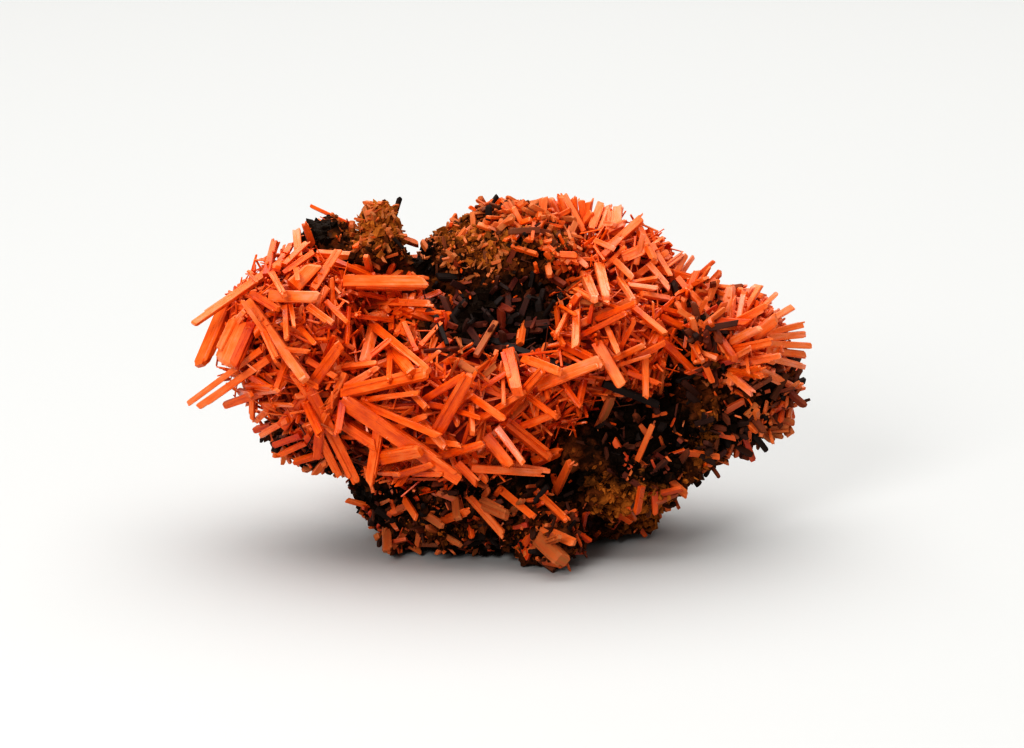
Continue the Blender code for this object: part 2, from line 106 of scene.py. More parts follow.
@dataclass(frozen=True)
class Eye:
    """The eye that the ruler is read from, which is also the camera's place."""

    tilt: float = math.radians(15)
    distance: float = 600.0
    target: Place = (1.8, 0.0, 26.7)
    target_on_ruler: Span = (1.8, 31.5)
    frame_width: float = 164.7

    @property
    def towards(self) -> Array:
        """Direction from the specimen to the eye."""
        return np.array([0.0, -math.cos(self.tilt), math.sin(self.tilt)])

    @property
    def upward(self) -> Array:
        """Direction that the eye sees as straight up."""
        return np.array([0.0, math.sin(self.tilt), math.cos(self.tilt)])

    @property
    def place(self) -> Array:
        """Where the eye is."""
        return np.array(self.target) + self.distance * self.towards

    def lines(self, across: Array, up: Array) -> Array:
        """Directions from the eye through ruler readings.

        Args:
            across: Millimetres across on the ruler.
            up: Millimetres up on the ruler.

        Returns:
            One unit direction for each reading.
        """
        reading = np.array(self.target) + (across - self.target_on_ruler[0])[:, None] * RIGHT
        reading = reading + (up - self.target_on_ruler[1])[:, None] * self.upward
        return unit(reading - self.place)

    def readings(self, points: Array) -> tuple[Array, Array]:
        """Ruler readings of points, by central projection on the ruler's plane.

        Args:
            points: Places in millimetres.

        Returns:
            Millimetres across and millimetres up.
        """
        offset = points - np.array(self.target)
        shrink = self.distance / (self.distance - offset @ self.towards)
        across = offset[:, 0] * shrink + self.target_on_ruler[0]
        return across, (offset @ self.upward) * shrink + self.target_on_ruler[1]


EYE = Eye()


@dataclass(frozen=True)
class Masses:
    """Rounded masses that overlap: each row holds the centre and the radii of an ellipsoid."""

    rows: tuple[tuple[float, ...], ...]

    SEARCH = np.arange(-45.0, 45.0, 0.25)
    OVERLAP = 0.3

    @property
    def centres(self) -> Array:
        """Centres, one row for each mass."""
        return np.array(self.rows)[:, :3]

    @property
    def radii(self) -> Array:
        """Radii, one row for each mass."""
        return np.array(self.rows)[:, 3:]

    def distance(self, points: Array) -> Array:
        """Rough distance to the joined skin, less than zero inside.

        For each ellipsoid the distance is k0 (k0 - 1) / k1, where k0 is the length of the point divided by
        the radii and k1 the length of the point divided by their squares. The nearest mass counts.

        Args:
            points: Places in millimetres, any shape ending in x, y, z.

        Returns:
            Distances in millimetres, one for each point.
        """
        nearest = np.full(points.shape[:-1], np.inf)
        for centre, radii in zip(self.centres, self.radii):
            ratio = np.linalg.norm((points - centre) / radii, axis=-1)
            slope = np.linalg.norm((points - centre) / radii ** 2, axis=-1) + 1e-9
            nearest = np.minimum(nearest, ratio * (ratio - 1) / slope)
        return nearest

    def normals(self, points: Array) -> Array:
        """Directions straight out of the skin, by central differences.

        Args:
            points: Places in millimetres.

        Returns:
            One unit vector for each point.
        """
        step = 0.05
        rise = [self.distance(points + step * way) - self.distance(points - step * way) for way in np.eye(3)]
        return unit(np.stack(rise, axis=-1))

    def seen(self, across: Array, up: Array) -> Array:
        """First points of the skin on the eye's lines, or the nearest that the lines pass.

        Args:
            across: Millimetres across on the ruler.
            up: Millimetres up on the ruler.

        Returns:
            One place for each reading.
        """
        travel = EYE.distance + self.SEARCH
        points = EYE.place + travel[None, :, None] * EYE.lines(across, up)[:, None, :]
        distances = self.distance(points)
        inside = distances < 0
        first = np.where(inside.any(axis=1), inside.argmax(axis=1), distances.argmin(axis=1))
        return points[np.arange(len(points)), first]

    def sunk(self, points: Array, depth: float) -> Array:
        """Points moved along the skin's slope, in four steps, until they lie at a depth under it.

        Args:
            points: Places in millimetres.
            depth: Millimetres under the skin.

        Returns:
            The moved places.
        """
        for _ in range(4):
            points = points - (self.distance(points) + depth)[:, None] * self.normals(points)
        return points

    def skin_samples(self, count: int, rng: np.random.Generator) -> Array:
        """Random points on the joined skin, with those inside a neighbour mass left out.

        Args:
            count: How many points are tried.
            rng: Seeded random numbers.

        Returns:
            The points that lie on the outside.
        """
        share = np.prod(self.radii, axis=1) ** (2 / 3)
        chosen = rng.choice(len(self.rows), size=count, p=share / share.sum())
        points = self.centres[chosen] + unit(rng.normal(size=(count, 3))) * self.radii[chosen]
        return points[self.distance(points) > -self.OVERLAP]


JACKSTRAW = Masses((
    (-32, -1, 33, 13, 15, 14),
    (-26, -6, 25, 11, 12, 10),
    (-9, -9, 22, 19, 11.5, 13.5),
    (6, -11, 27, 9, 7, 8),
    (17, -4, 32.5, 12, 11, 11),
    (19, 8, 40, 11, 11, 10),
))
RIGHT_SPRAY = Masses(((38.6, 1, 31, 7, 9.5, 9.5),))
REAR = Masses(((-9, 16, 25, 15, 8, 11),))
GOSSAN = Masses((
    (-1, 3, 25, 25, 14, 17),
    (1, 8, 41.5, 13, 11, 10.5),
    (-14, 8, 39, 9, 8, 8.5),
    (-19.5, 4, 46.5, 4.4, 4.4, 5.0),
    (-20.2, 4, 50.8, 3.6, 3.4, 3.4),
    (-28.5, 8, 44.5, 5, 5, 5),
    (-3, -2, 9, 21, 15, 11),
    (-17.5, -9.5, 4, 3.2, 3.6, 5),
    (8, -15, 4.5, 5, 6, 6),
    (-26, 0, 19, 11, 11, 6.5),
    (17, 2, 7, 10, 12, 9),
    (19, -4, 15, 14, 13, 9),
    (31, 1, 21, 13, 11, 7),
    (42, 3, 25, 6, 8, 5.5),
    (32.5, 0, 33, 4.5, 8.5, 8.5),
    (16, 8, 28, 20, 13, 14),
))


class Coat(Enum):
    """What lies over a crystal's own colour, as a share of the earthy coat in its look attribute."""

    CLEAN = 0.0
    DUSTY = 0.3
    TAN = 0.75
    BLACK = 1.0


@dataclass(frozen=True)
class Readings:
    """Crystals read on the ruler: rows of root across and up, tip across and up, width and perhaps lift."""

    rows: tuple[tuple[float, ...], ...]
    coat: Coat = Coat.CLEAN
    lift: float = 1.3

    def table(self) -> Array:
        """Rows as an array of six columns, with the usual lift where a row gives none."""
        return np.array([row if len(row) == 6 else (*row, self.lift) for row in self.rows], dtype=float)


LONG_PALE = Readings((
    (-35.2, 49.7, -49.0, 39.4, 1.5, 1.0), (-29.2, 52.6, -21.0, 50.3, 1.3, 1.2),
    (-38.5, 35.5, -50.1, 26.8, 1.1, 1.4), (-37.4, 33.9, -48.4, 26.2, 1.2, 1.2),
    (-40.7, 43.3, -31.1, 30.5, 1.6, 2.4), (-37.0, 44.0, -28.9, 43.7, 1.9, 2.2),
    (-25.3, 46.4, -12.1, 46.2, 2.0, 1.8), (-4.8, 16.3, 6.6, 15.8, 1.5, 2.2),
    (1.0, 16.8, 7.9, 16.0, 0.9, 2.0), (3.5, 34.1, 9.4, 31.8, 1.5, 2.0), (6.1, 29.7, 16.1, 33.6, 2.2, 2.8),
    (15.5, 36.4, 19.3, 29.6, 1.8, 2.0), (-41.5, 39.8, -44.0, 33.0, 3.6, 1.8),
))
LONG_BRIGHT = Readings((
    (-46.3, 43.8, -48.2, 32.8, 2.6, 1.2), (-35.2, 23.0, -25.6, 36.0, 1.9, 2.6),
    (-30.6, 29.0, -22.8, 14.2, 1.6, 2.4), (-20.5, 39.6, -11.5, 32.0, 1.3, 2.4),
    (-25.5, 28.3, -11.7, 31.4, 1.7, 2.6), (-12.5, 27.2, -5.7, 31.3, 1.2, 2.2),
    (-10.2, 22.0, -4.9, 31.3, 2.0, 2.6), (-25.5, 27.2, -6.6, 14.6, 2.4, 3.2),
    (-22.5, 26.9, -9.8, 21.6, 1.3, 2.2), (-9.7, 18.3, -3.0, 20.4, 1.3, 2.2),
    (0.7, 23.9, 7.9, 18.1, 1.7, 2.4), (-2.3, 21.4, 1.7, 16.8, 1.8, 1.6),
))
LEFT_LOBE = Readings((
    (-38.5, 28.4, -44.2, 26.5, 1.3, 0.8), (-32.5, 50.5, -32.8, 54.6, 1.3, 0.5),
    (-37.9, 47.5, -36.3, 52.7, 1.1, 0.5), (-35.6, 49.6, -33.6, 52.3, 1.0, 0.5),
    (-36.9, 47.8, -34.5, 44.0, 1.2), (-35.0, 47.9, -29.8, 51.0, 0.9), (-34.9, 49.2, -31.0, 52.5, 1.2, 0.8),
    (-33.0, 49.0, -32.3, 46.4, 0.8), (-30.2, 45.2, -25.8, 51.2, 1.2, 1.6),
    (-40.6, 47.9, -39.0, 46.2, 0.6, 0.4), (-40.2, 39.6, -42.6, 32.6, 1.6, 1.4),
    (-39.9, 44.5, -35.5, 41.8, 1.0), (-34.7, 42.5, -34.2, 37.0, 1.0), (-34.0, 43.5, -33.0, 39.0, 0.7),
    (-30.8, 42.5, -26.8, 39.6, 1.2), (-32.3, 39.0, -29.6, 36.2, 0.9), (-30.8, 37.1, -27.8, 37.1, 0.5),
    (-34.6, 33.5, -36.0, 29.0, 0.9), (-41.2, 31.5, -35.2, 28.4, 1.0), (-41.0, 29.5, -36.5, 29.3, 1.0),
    (-43.8, 26.6, -35.5, 28.9, 0.9, 0.8), (-40.0, 30.0, -39.8, 24.2, 0.9, 0.8),
    (-42.3, 28.5, -39.8, 28.3, 1.1, 0.8), (-38.7, 26.5, -33.2, 26.5, 0.7),
    (-36.5, 26.7, -39.4, 23.9, 0.9, 0.6), (-34.5, 24.0, -38.6, 21.6, 1.0, 0.5),
    (-32.4, 21.5, -36.6, 20.1, 0.9, 0.5), (-31.4, 20.2, -35.5, 18.4, 0.8, 0.5),
    (-28.6, 18.4, -33.2, 17.3, 1.0, 0.5), (-31.3, 26.3, -28.8, 22.0, 1.3), (-29.0, 23.5, -29.3, 18.2, 1.4),
    (-29.5, 22.0, -25.8, 15.2, 1.2), (-19.5, 24.5, -20.9, 14.2, 1.6), (-25.5, 27.0, -26.2, 22.0, 1.2),
    (-22.0, 16.4, -20.3, 12.5, 0.5, 0.6), (-25.0, 23.2, -20.0, 20.0, 1.8, 0.6),
    (-33.4, 45.6, -29.6, 49.0, 2.6, 0.4), (-45.0, 37.0, -41.0, 41.5, 1.1, 0.6),
    (-38.6, 39.0, -36.0, 34.0, 1.0, 0.8), (-31.0, 33.8, -26.4, 31.0, 1.0), (-28.4, 33.6, -26.6, 37.6, 1.0),
    (-33.8, 31.6, -29.2, 29.4, 0.9), (-28.0, 43.2, -24.4, 39.6, 0.9), (-37.6, 37.4, -41.2, 43.2, 0.8),
    (-36.4, 35.6, -30.6, 35.0, 0.8),
))
UPPER_LEFT = Readings((
    (-21.3, 50.5, -18.4, 46.8, 1.3), (-21.8, 49.5, -19.5, 46.5, 1.0), (-18.5, 51.0, -18.0, 46.9, 1.3),
    (-16.3, 49.2, -15.0, 46.8, 0.6, 0.8), (-15.3, 49.3, -14.5, 47.0, 1.2, 0.8),
    (-27.0, 50.0, -20.5, 47.0, 1.2, 1.8), (-17.3, 44.6, -11.3, 42.8, 1.3, 1.6),
    (-8.2, 45.5, -8.5, 41.5, 1.5, 0.6), (-26.2, 41.3, -17.4, 40.0, 0.9, 1.8),
    (-18.0, 43.0, -9.5, 41.2, 1.0, 1.4), (-17.5, 42.8, -13.6, 39.3, 0.5, 1.6),
    (-13.7, 32.0, -9.7, 35.2, 0.6, 1.8), (-24.0, 31.8, -17.4, 37.0, 0.9, 2.0),
    (-25.3, 32.7, -19.8, 33.2, 1.0), (-25.0, 29.5, -19.6, 32.6, 1.1), (-21.8, 29.3, -21.0, 32.0, 0.6),
    (-18.2, 36.5, -14.2, 31.6, 2.0, 1.0), (-17.8, 35.2, -17.8, 30.5, 1.1),
    (-20.2, 39.0, -21.8, 33.4, 1.6, 1.2), (-22.0, 27.4, -13.0, 28.5, 0.9), (-5.7, 28.8, 0.7, 24.2, 1.0, 1.6),
    (-24.3, 42.3, -24.5, 36.2, 0.7), (-13.0, 36.2, -9.6, 39.6, 0.8, 0.8),
    (-22.6, 44.6, -17.0, 43.4, 0.9, 0.9), (-15.4, 29.6, -12.0, 26.0, 1.1, 0.8),
    (-8.6, 26.0, -4.6, 28.4, 0.8, 0.8), (-13.6, 35.2, -15.6, 39.8, 0.9, 0.7),
))
FRONT = Readings((
    (-19.2, 18.0, -12.8, 19.2, 2.2, 1.6), (-17.3, 14.9, -11.1, 17.0, 1.1),
    (-14.3, 15.3, -9.3, 15.5, 0.8, 1.8), (-19.7, 15.4, -16.2, 15.5, 0.7), (-11.9, 20.8, -6.7, 20.2, 1.1),
    (-4.8, 26.2, -4.5, 22.0, 1.0), (-3.8, 23.7, 3.9, 28.7, 0.9, 1.6), (0.4, 24.9, 6.7, 32.1, 1.4, 2.0),
    (-0.5, 22.7, 3.7, 17.2, 1.2, 1.8), (4.2, 28.1, 8.9, 24.7, 0.9), (3.1, 22.9, 8.9, 25.3, 1.0, 1.6),
    (5.2, 17.0, 9.5, 19.1, 1.6), (-12.6, 23.6, -8.8, 19.8, 1.3, 0.9), (-16.8, 22.8, -12.0, 24.8, 1.0, 0.9),
    (-7.2, 25.6, -3.2, 24.4, 0.8, 0.9), (-2.6, 29.6, 1.6, 32.2, 0.9, 0.9),
    (-7.0, 17.0, -3.8, 14.0, 1.2, 0.9),
))
CENTRE = Readings((
    (1.8, 40.2, 4.2, 43.8, 1.4, 0.8), (0.9, 40.2, 1.2, 35.8, 0.8, 0.8), (0.2, 39.3, 4.4, 38.9, 1.0, 0.8),
    (0.0, 35.5, 4.8, 37.9, 0.7, 0.8), (3.0, 34.6, 9.1, 35.2, 0.4), (1.2, 35.2, 2.6, 28.6, 2.2, 1.0),
    (0.3, 33.2, 0.4, 26.8, 0.6), (9.7, 36.3, 15.1, 33.5, 1.3), (10.0, 35.1, 13.2, 33.1, 0.6),
    (12.2, 41.7, 12.0, 35.8, 1.2), (9.4, 42.6, 12.1, 40.8, 0.6, 0.8), (10.6, 41.2, 8.9, 37.8, 0.8, 0.8),
    (8.8, 38.3, 10.1, 36.1, 0.8, 0.8), (11.1, 42.2, 12.5, 44.2, 1.1, 0.6),
    (12.6, 37.6, 20.0, 41.2, 1.0, 1.8), (15.4, 40.4, 21.6, 42.9, 0.9, 1.7), (17.1, 39.0, 18.8, 34.7, 0.9),
    (18.9, 34.9, 21.4, 40.0, 0.7, 1.8), (17.9, 33.7, 22.7, 36.1, 1.0), (18.8, 32.8, 23.9, 34.5, 0.6),
    (23.4, 34.2, 23.2, 27.8, 1.0), (22.2, 34.4, 26.2, 36.6, 1.0), (21.1, 42.4, 26.2, 37.9, 1.1),
    (25.7, 37.2, 30.6, 32.2, 1.3, 0.8), (26.0, 42.2, 31.5, 40.5, 0.9, 0.7),
    (26.0, 40.8, 29.8, 38.6, 1.1, 0.7), (27.3, 38.2, 30.2, 34.8, 0.3, 0.8),
    (13.6, 31.2, 12.6, 26.6, 0.9, 0.8), (20.4, 31.8, 25.2, 30.0, 0.8, 0.8),
    (14.2, 39.8, 14.6, 42.6, 0.8, 0.6), (24.2, 40.2, 27.6, 43.4, 0.8, 0.6),
    (10.2, 29.8, 12.8, 26.2, 0.9, 0.8), (16.6, 43.0, 20.8, 41.4, 0.7, 0.8),
))
UPPER_RIGHT = Readings((
    (13.2, 54.6, 10.2, 60.2, 1.0, 0.3), (13.3, 56.0, 11.2, 59.2, 0.8, 0.4),
    (12.3, 56.4, 17.5, 58.2, 1.2, 0.5), (11.2, 53.8, 14.6, 57.4, 1.3, 0.9),
    (18.5, 54.6, 18.7, 58.2, 1.5, 0.4), (17.2, 54.8, 17.5, 57.6, 0.9, 0.5),
    (14.8, 57.0, 18.2, 55.3, 1.0, 0.8), (17.0, 54.6, 19.8, 55.6, 1.2, 0.8),
    (17.5, 52.0, 22.4, 56.3, 1.3, 0.8), (22.1, 55.6, 24.5, 49.8, 1.5, 0.8), (21.7, 49.2, 22.7, 53.8, 1.0),
    (13.3, 47.6, 15.0, 43.4, 1.4), (15.6, 49.1, 16.9, 43.6, 1.4, 1.5), (11.9, 45.3, 15.1, 43.1, 1.0),
    (14.9, 44.1, 17.3, 42.8, 0.7), (19.2, 47.0, 21.1, 43.3, 1.2), (20.4, 46.3, 25.2, 46.9, 0.9),
    (20.5, 46.0, 25.0, 45.1, 1.0), (10.2, 46.0, 13.5, 47.3, 0.5, 0.8), (7.0, 48.4, 9.4, 51.3, 0.7, 0.8),
    (15.1, 53.1, 18.1, 51.5, 0.9), (25.8, 48.3, 29.1, 50.7, 0.9, 0.4), (28.0, 47.6, 29.6, 50.6, 1.2, 0.4),
    (29.4, 47.8, 31.0, 50.4, 0.8, 0.3), (25.3, 48.3, 31.2, 46.6, 1.2, 0.8),
    (28.8, 45.4, 32.4, 47.9, 1.2, 0.4), (19.6, 50.4, 23.6, 51.8, 1.8, 0.4),
    (18.4, 49.8, 21.2, 46.8, 1.0, 0.8), (23.8, 49.2, 27.0, 45.0, 0.9, 0.8),
    (11.0, 51.2, 13.8, 48.6, 0.8, 0.6), (22.8, 44.6, 27.4, 43.4, 0.9, 0.8),
    (16.4, 50.6, 19.4, 53.4, 1.0, 0.6), (24.4, 52.4, 27.2, 47.2, 1.0, 0.5), (8.5, 56.0, 8.0, 59.8, 1.0, 0.3),
    (10.5, 56.0, 11.5, 59.8, 1.1, 0.3), (13.0, 55.5, 14.2, 59.2, 1.2, 0.3),
    (14.5, 55.0, 16.2, 58.9, 1.1, 0.3), (16.0, 55.0, 17.4, 58.6, 0.9, 0.3),
    (18.2, 54.6, 19.2, 58.0, 1.0, 0.3), (10.0, 56.5, 9.6, 60.3, 1.6, 0.6),
    (13.2, 55.5, 13.0, 59.5, 1.2, 0.6), (18.6, 54.5, 18.8, 58.2, 1.6, 0.6),
))
SPRAY = Readings((
    (36.2, 38.4, 36.6, 45.4, 1.8, 0.6), (35.4, 41.0, 35.0, 45.4, 1.3, 0.6),
    (37.2, 39.6, 42.4, 42.5, 1.3, 1.2), (37.0, 36.5, 41.2, 38.8, 1.2, 1.8),
    (36.8, 35.3, 43.2, 36.6, 1.4, 2.0), (40.7, 37.5, 44.0, 40.3, 1.8, 1.2), (36.5, 33.5, 39.8, 35.6, 1.0),
    (36.5, 32.0, 41.6, 31.1, 0.9), (36.8, 31.0, 41.4, 32.6, 0.9), (39.5, 34.7, 39.5, 31.6, 0.6, 1.6),
    (36.5, 31.5, 40.0, 28.5, 1.1), (37.4, 28.4, 41.3, 26.1, 1.0, 0.8), (37.0, 28.6, 40.4, 24.2, 1.6, 0.8),
    (35.0, 31.2, 35.3, 27.6, 1.0, 0.8), (38.0, 39.6, 41.4, 45.6, 1.0, 0.3),
    (40.2, 40.6, 44.2, 44.4, 0.9, 0.3), (41.6, 39.2, 46.8, 42.2, 1.0, 0.3),
    (42.4, 38.0, 48.4, 39.4, 1.1, 0.3), (42.8, 36.4, 49.8, 36.0, 1.0, 0.3),
    (42.4, 34.2, 48.8, 32.6, 1.1, 0.3), (41.8, 32.2, 47.0, 29.4, 1.2, 0.4),
    (43.6, 40.8, 45.8, 37.0, 0.5, 0.6), (43.5, 28.3, 48.3, 29.7, 1.1, 0.6),
    (46.0, 29.8, 46.6, 33.0, 0.7, 0.6), (42.5, 37.4, 48.9, 38.0, 1.1, 0.3),
    (42.6, 35.4, 48.9, 34.6, 1.1, 0.3), (37.8, 37.8, 38.8, 44.2, 1.0, 0.6),
    (42.7, 26.8, 43.8, 29.0, 1.2, 0.6), (38.6, 33.2, 44.6, 34.4, 1.0, 1.4),
))
FOOT = Readings((
    (3.4, 7.2, 9.9, 1.8, 2.3, 2.4), (-21.2, 9.6, -17.8, 11.4, 0.6, 1.2), (-18.9, 7.5, -18.2, 3.2, 1.4, 1.0),
    (-7.4, 12.0, -6.8, 8.4, 1.5, 2.4), (-3.9, 10.8, 1.0, 9.0, 2.0, 2.4), (1.0, 8.0, 3.4, 11.4, 0.9, 3.0),
    (-13.3, 9.0, -9.2, 7.2, 1.4, 2.4), (-10.6, 5.6, -6.4, 4.2, 1.0, 1.6), (6.2, 3.8, 9.4, 5.6, 1.0, 1.6),
    (41.2, 22.0, 46.2, 23.0, 1.2, 0.8), (42.0, 24.5, 47.0, 23.6, 1.2, 0.8),
    (44.5, 25.0, 46.6, 21.6, 1.3, 0.8), (41.5, 20.6, 45.2, 21.6, 1.0, 0.8),
    (40.6, 23.4, 43.6, 20.8, 1.2, 0.8),
), Coat.TAN)
BROWNED = Readings((
    (-4.0, 34.6, -0.7, 39.9, 1.0, 0.9), (-6.9, 33.6, -4.1, 31.8, 1.2, 0.9),
    (-3.1, 30.9, -0.8, 32.9, 0.9, 0.9), (-8.1, 31.3, -7.1, 33.6, 0.5, 0.9),
    (-6.5, 38.7, -6.2, 34.8, 0.4, 0.9), (-7.3, 38.2, -6.3, 35.8, 0.4, 0.9),
    (-1.9, 43.7, 0.1, 40.3, 0.7, 0.9), (17.9, 27.8, 13.0, 17.0, 1.2, 1.8),
    (22.0, 18.8, 24.1, 24.8, 0.9, 1.2), (17.0, 22.7, 18.3, 18.8, 0.7, 1.2),
    (12.5, 43.3, 16.2, 42.5, 0.8, 0.8), (34.8, 33.2, 33.5, 29.6, 1.1, 0.8),
), Coat.TAN)
BLACKENED = Readings((
    (16.5, 29.9, 25.2, 26.5, 1.3, 1.2), (31.4, 39.7, 32.5, 34.3, 0.9, 1.6),
    (32.4, 40.2, 35.1, 37.8, 1.0, 1.6), (29.6, 36.4, 31.4, 41.0, 0.8, 1.4),
    (-10.0, 39.0, -5.6, 43.4, 0.9, 0.9), (4.6, 45.2, 9.8, 43.6, 1.0, 0.9), (-3.6, 46.4, 1.2, 43.8, 0.9, 0.9),
    (20.0, 24.6, 26.8, 23.8, 1.0, 1.6), (26.6, 28.8, 28.8, 23.4, 1.0, 1.6),
    (18.8, 25.4, 20.6, 20.6, 0.9, 1.6), (6.0, 39.8, 8.6, 43.2, 0.8, 0.9),
    (-8.6, 36.4, -10.4, 41.0, 0.7, 0.9),
), Coat.BLACK)
LONE = Readings((
    (9.0, 12.0, 11.0, 17.4, 1.4, 3.4), (22.2, 17.6, 24.2, 23.4, 1.0, 3.2), (5.5, 13.0, 10.5, 8.1, 1.0, 3.6),
    (-0.5, 13.6, 5.4, 8.8, 1.1, 3.6), (-5.5, 12.4, 0.4, 6.0, 1.2, 3.6), (4.5, 7.6, 11.8, 4.6, 1.8, 3.0),
    (-16.8, 12.6, -13.4, 8.6, 1.2, 3.2), (-9.6, 7.4, -5.2, 9.6, 1.2, 3.0),
    (43.6, 24.2, 43.4, 20.4, 1.0, 2.8), (30.6, 19.0, 34.8, 18.2, 1.1, 3.0),
    (26.4, 15.0, 29.6, 12.2, 1.2, 2.8), (-30.6, 52.0, -31.2, 55.4, 1.1, 1.4),
    (3.2, 56.0, 0.8, 58.9, 1.1, 1.2), (7.0, 54.4, 7.0, 59.6, 1.2, 1.2),
), Coat.DUSTY)


@dataclass
class Surface:
    """A finished surface in millimetres: points, faces, and what its finish reads."""

    points: Array
    faces: Array
    look: Array
    face_uv: Array | None = None
    smooth: bool = False

    def piece(self, name: str, material: bpy.types.Material, slot: str,
              stands_for: tuple[str, ...] = ()) -> None:
        """Make the Blender mesh, scale it to metres and put it on the body.

        Args:
            name: The piece's name.
            material: Its finish.
            slot: The record's material slot; not used.
            stands_for: CAD nodes that it replaces.
        """
        resting = (self.points - MIDDLE) * MM
        resting[:, 2] = np.maximum(resting[:, 2], 0)
        mesh = bpy.data.meshes.new(name)
        mesh.from_pydata(resting.tolist(), [], self.faces.tolist(), shade_flat=not self.smooth)
        look = mesh.attributes.new("look", "FLOAT_COLOR", "POINT")
        look.data.foreach_set("color", self.look.astype(np.float32).ravel())
        if self.face_uv is not None:
            mesh.uv_layers.new(name="UVMap").data.foreach_set("uv", self.face_uv.astype(np.float32).ravel())
        mesh.materials.append(material)
        made = put(name, mesh)
        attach(made, BODY)
        if stands_for:
            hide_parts(*stands_for)
        LOG.info("%s: %d points, %d triangles", name, len(self.points), len(self.faces) * 2)


@dataclass
class Laths:
    """Prismatic crystals, one row each: where they start and end, their turn, size and colour."""

    root: Array
    tip: Array
    facing: Array
    width: Array
    thickness: Array
    tint: Array
    dust: Array
    black: Array

    ASIDE = (0.2, 0.5)
    RAISED = (-0.32, 0.34)
    LATE_START = 0.14
    EARLY_END = 0.16
    MOST_LOST = 0.6
    UNEVEN_END = (0.0, 0.6)
    SPLAY = 0.006
    NARROWER = (0.22, 0.5)
    THINNER = (0.5, 0.9)
    TINT_SPREAD = 0.03

    BEVEL = 0.10
    WOBBLE = 0.035
    TAPER = (0.78, 1.0)
    END_SIZE = (0.55, 0.92)
    SLANT = 0.4
    SHOULDER = 0.35
    CHIP = (0.3, 1.3)
    DEEPEST_CHIP = 0.3
    LEAN_LIMITS = (-0.3, 0.25)
    TEXTURE_SPREAD = 90.0
    # Painted top light: a side's tint is raised by how far it faces up, so sides facing up show paler and
    # pinker
    PAINTED_TOP_LIGHT = 0.14
    PAINTED_TOP_LIGHT_SLOPES = (-0.4, 0.9)

    @staticmethod
    def together(groups: list["Laths"]) -> "Laths":
        """All the crystals of several groups."""
        columns = ([getattr(group, each.name) for group in groups] for each in fields(Laths))
        return Laths(*(np.concatenate(column) for column in columns))

    def chosen(self, rows: Array) -> "Laths":
        """The crystals that a mask or row numbers pick."""
        return Laths(*(getattr(self, each.name)[rows] for each in fields(self)))

    def axes(self) -> tuple[Array, Array, Array]:
        """Directions along, across and through each crystal, at right angles to each other.

        Returns:
            Three arrays of unit vectors.
        """
        along = unit(self.tip - self.root)
        across = unit(np.cross(along, self.facing))
        return along, across, np.cross(across, along)

    def with_companions(self, rng: np.random.Generator, least: int, most: int) -> "Laths":
        """Grow narrower crystals along each one, side by side, which makes its grooves and its stepped ends.

        Args:
            rng: Seeded random numbers.
            least: Fewest companions of a crystal.
            most: Most companions of a crystal.

        Returns:
            The crystals with their companions.
        """
        count = rng.integers(least, most + 1, size=len(self.width))
        base = self.chosen(np.repeat(np.arange(len(self.width)), count))
        along, across, through = base.axes()
        length = np.linalg.norm(base.tip - base.root, axis=1)
        size = len(length)
        shift = rng.uniform(*self.ASIDE, size) * np.where(rng.random(size) < 0.5, -1, 1) * base.width
        rise = rng.uniform(*self.RAISED, size) * base.thickness
        offset = across * shift[:, None] + through * rise[:, None]
        start = np.abs(rng.normal(0, self.LATE_START, size)) * length
        lost = np.minimum(np.abs(rng.normal(0, self.EARLY_END, size)), self.MOST_LOST)
        end = lost * length - rng.uniform(*self.UNEVEN_END, size)
        lean = rng.normal(0, self.SPLAY, (size, 3)) * length[:, None]
        base.root = base.root + offset + along * start[:, None]
        base.tip = base.tip + offset - along * end[:, None] + lean
        base.width = base.width * rng.uniform(*self.NARROWER, size)
        base.thickness = base.thickness * rng.uniform(*self.THINNER, size)
        base.tint = base.tint + rng.normal(0, self.TINT_SPREAD, size)
        return Laths.together([self, base])

    def surface(self, rng: np.random.Generator) -> Surface:
        """Lay a tapering eight-sided prism with a slanting, chipped end round every crystal.

        The section is a rectangle with its corners cut. Its three rings stand at the root, at the shoulder
        and at the end; the end is a little smaller and leans, so that it slants across the crystal.

        Args:
            rng: Seeded random numbers.

        Returns:
            The joined surface, with texture lengths in millimetres round and along each crystal.
        """
        along, across, through = self.axes()
        count = len(self.width)
        flank = 0.5 - self.BEVEL
        section = np.array([(0.5, flank), (flank, 0.5), (-flank, 0.5), (-0.5, flank),
                            (-0.5, -flank), (-flank, -0.5), (flank, -0.5), (0.5, -flank)])
        wobble = rng.normal(0, self.WOBBLE, (count, 3, 8, 2))
        taper = rng.uniform(*self.TAPER, count)
        sizes = np.stack([np.ones(count), taper, taper * rng.uniform(*self.END_SIZE, count)], axis=1)
        extent = np.stack([self.width, self.thickness], axis=1)
        flat = (section[None, None] + wobble) * sizes[:, :, None, None] * extent[:, None, None, :]
        length = np.linalg.norm(self.tip - self.root, axis=1)
        slant = rng.normal(0, self.SLANT, (count, 2)) * extent / self.width[:, None]
        chip = self.SHOULDER * self.width * rng.uniform(*self.CHIP, count)
        chip = np.minimum(chip, self.DEEPEST_CHIP * length)
        stations = np.stack([np.zeros(count), length - chip, length], axis=1)
        lean = np.einsum("nrkc,nc->nrk", flat, slant) * np.array([0.0, 1.0, 1.0])[None, :, None]
        lean = np.clip(lean, *(limit * length[:, None, None] for limit in self.LEAN_LIMITS))
        reach = (stations[:, :, None] + lean)[..., None]
        points = self.root[:, None, None, :] + along[:, None, None, :] * reach
        points = points + across[:, None, None, :] * flat[..., :1] + through[:, None, None, :] * flat[..., 1:]

        turn = np.arange(8)
        after = (turn + 1) % 8
        wall = np.stack([turn, after, after + 8, turn + 8], axis=1)
        end = np.array([(0, 1, 2, 7), (2, 3, 6, 7), (3, 4, 5, 6)])
        pattern = np.concatenate([wall, wall + 8, end + 16, end[:, ::-1]])

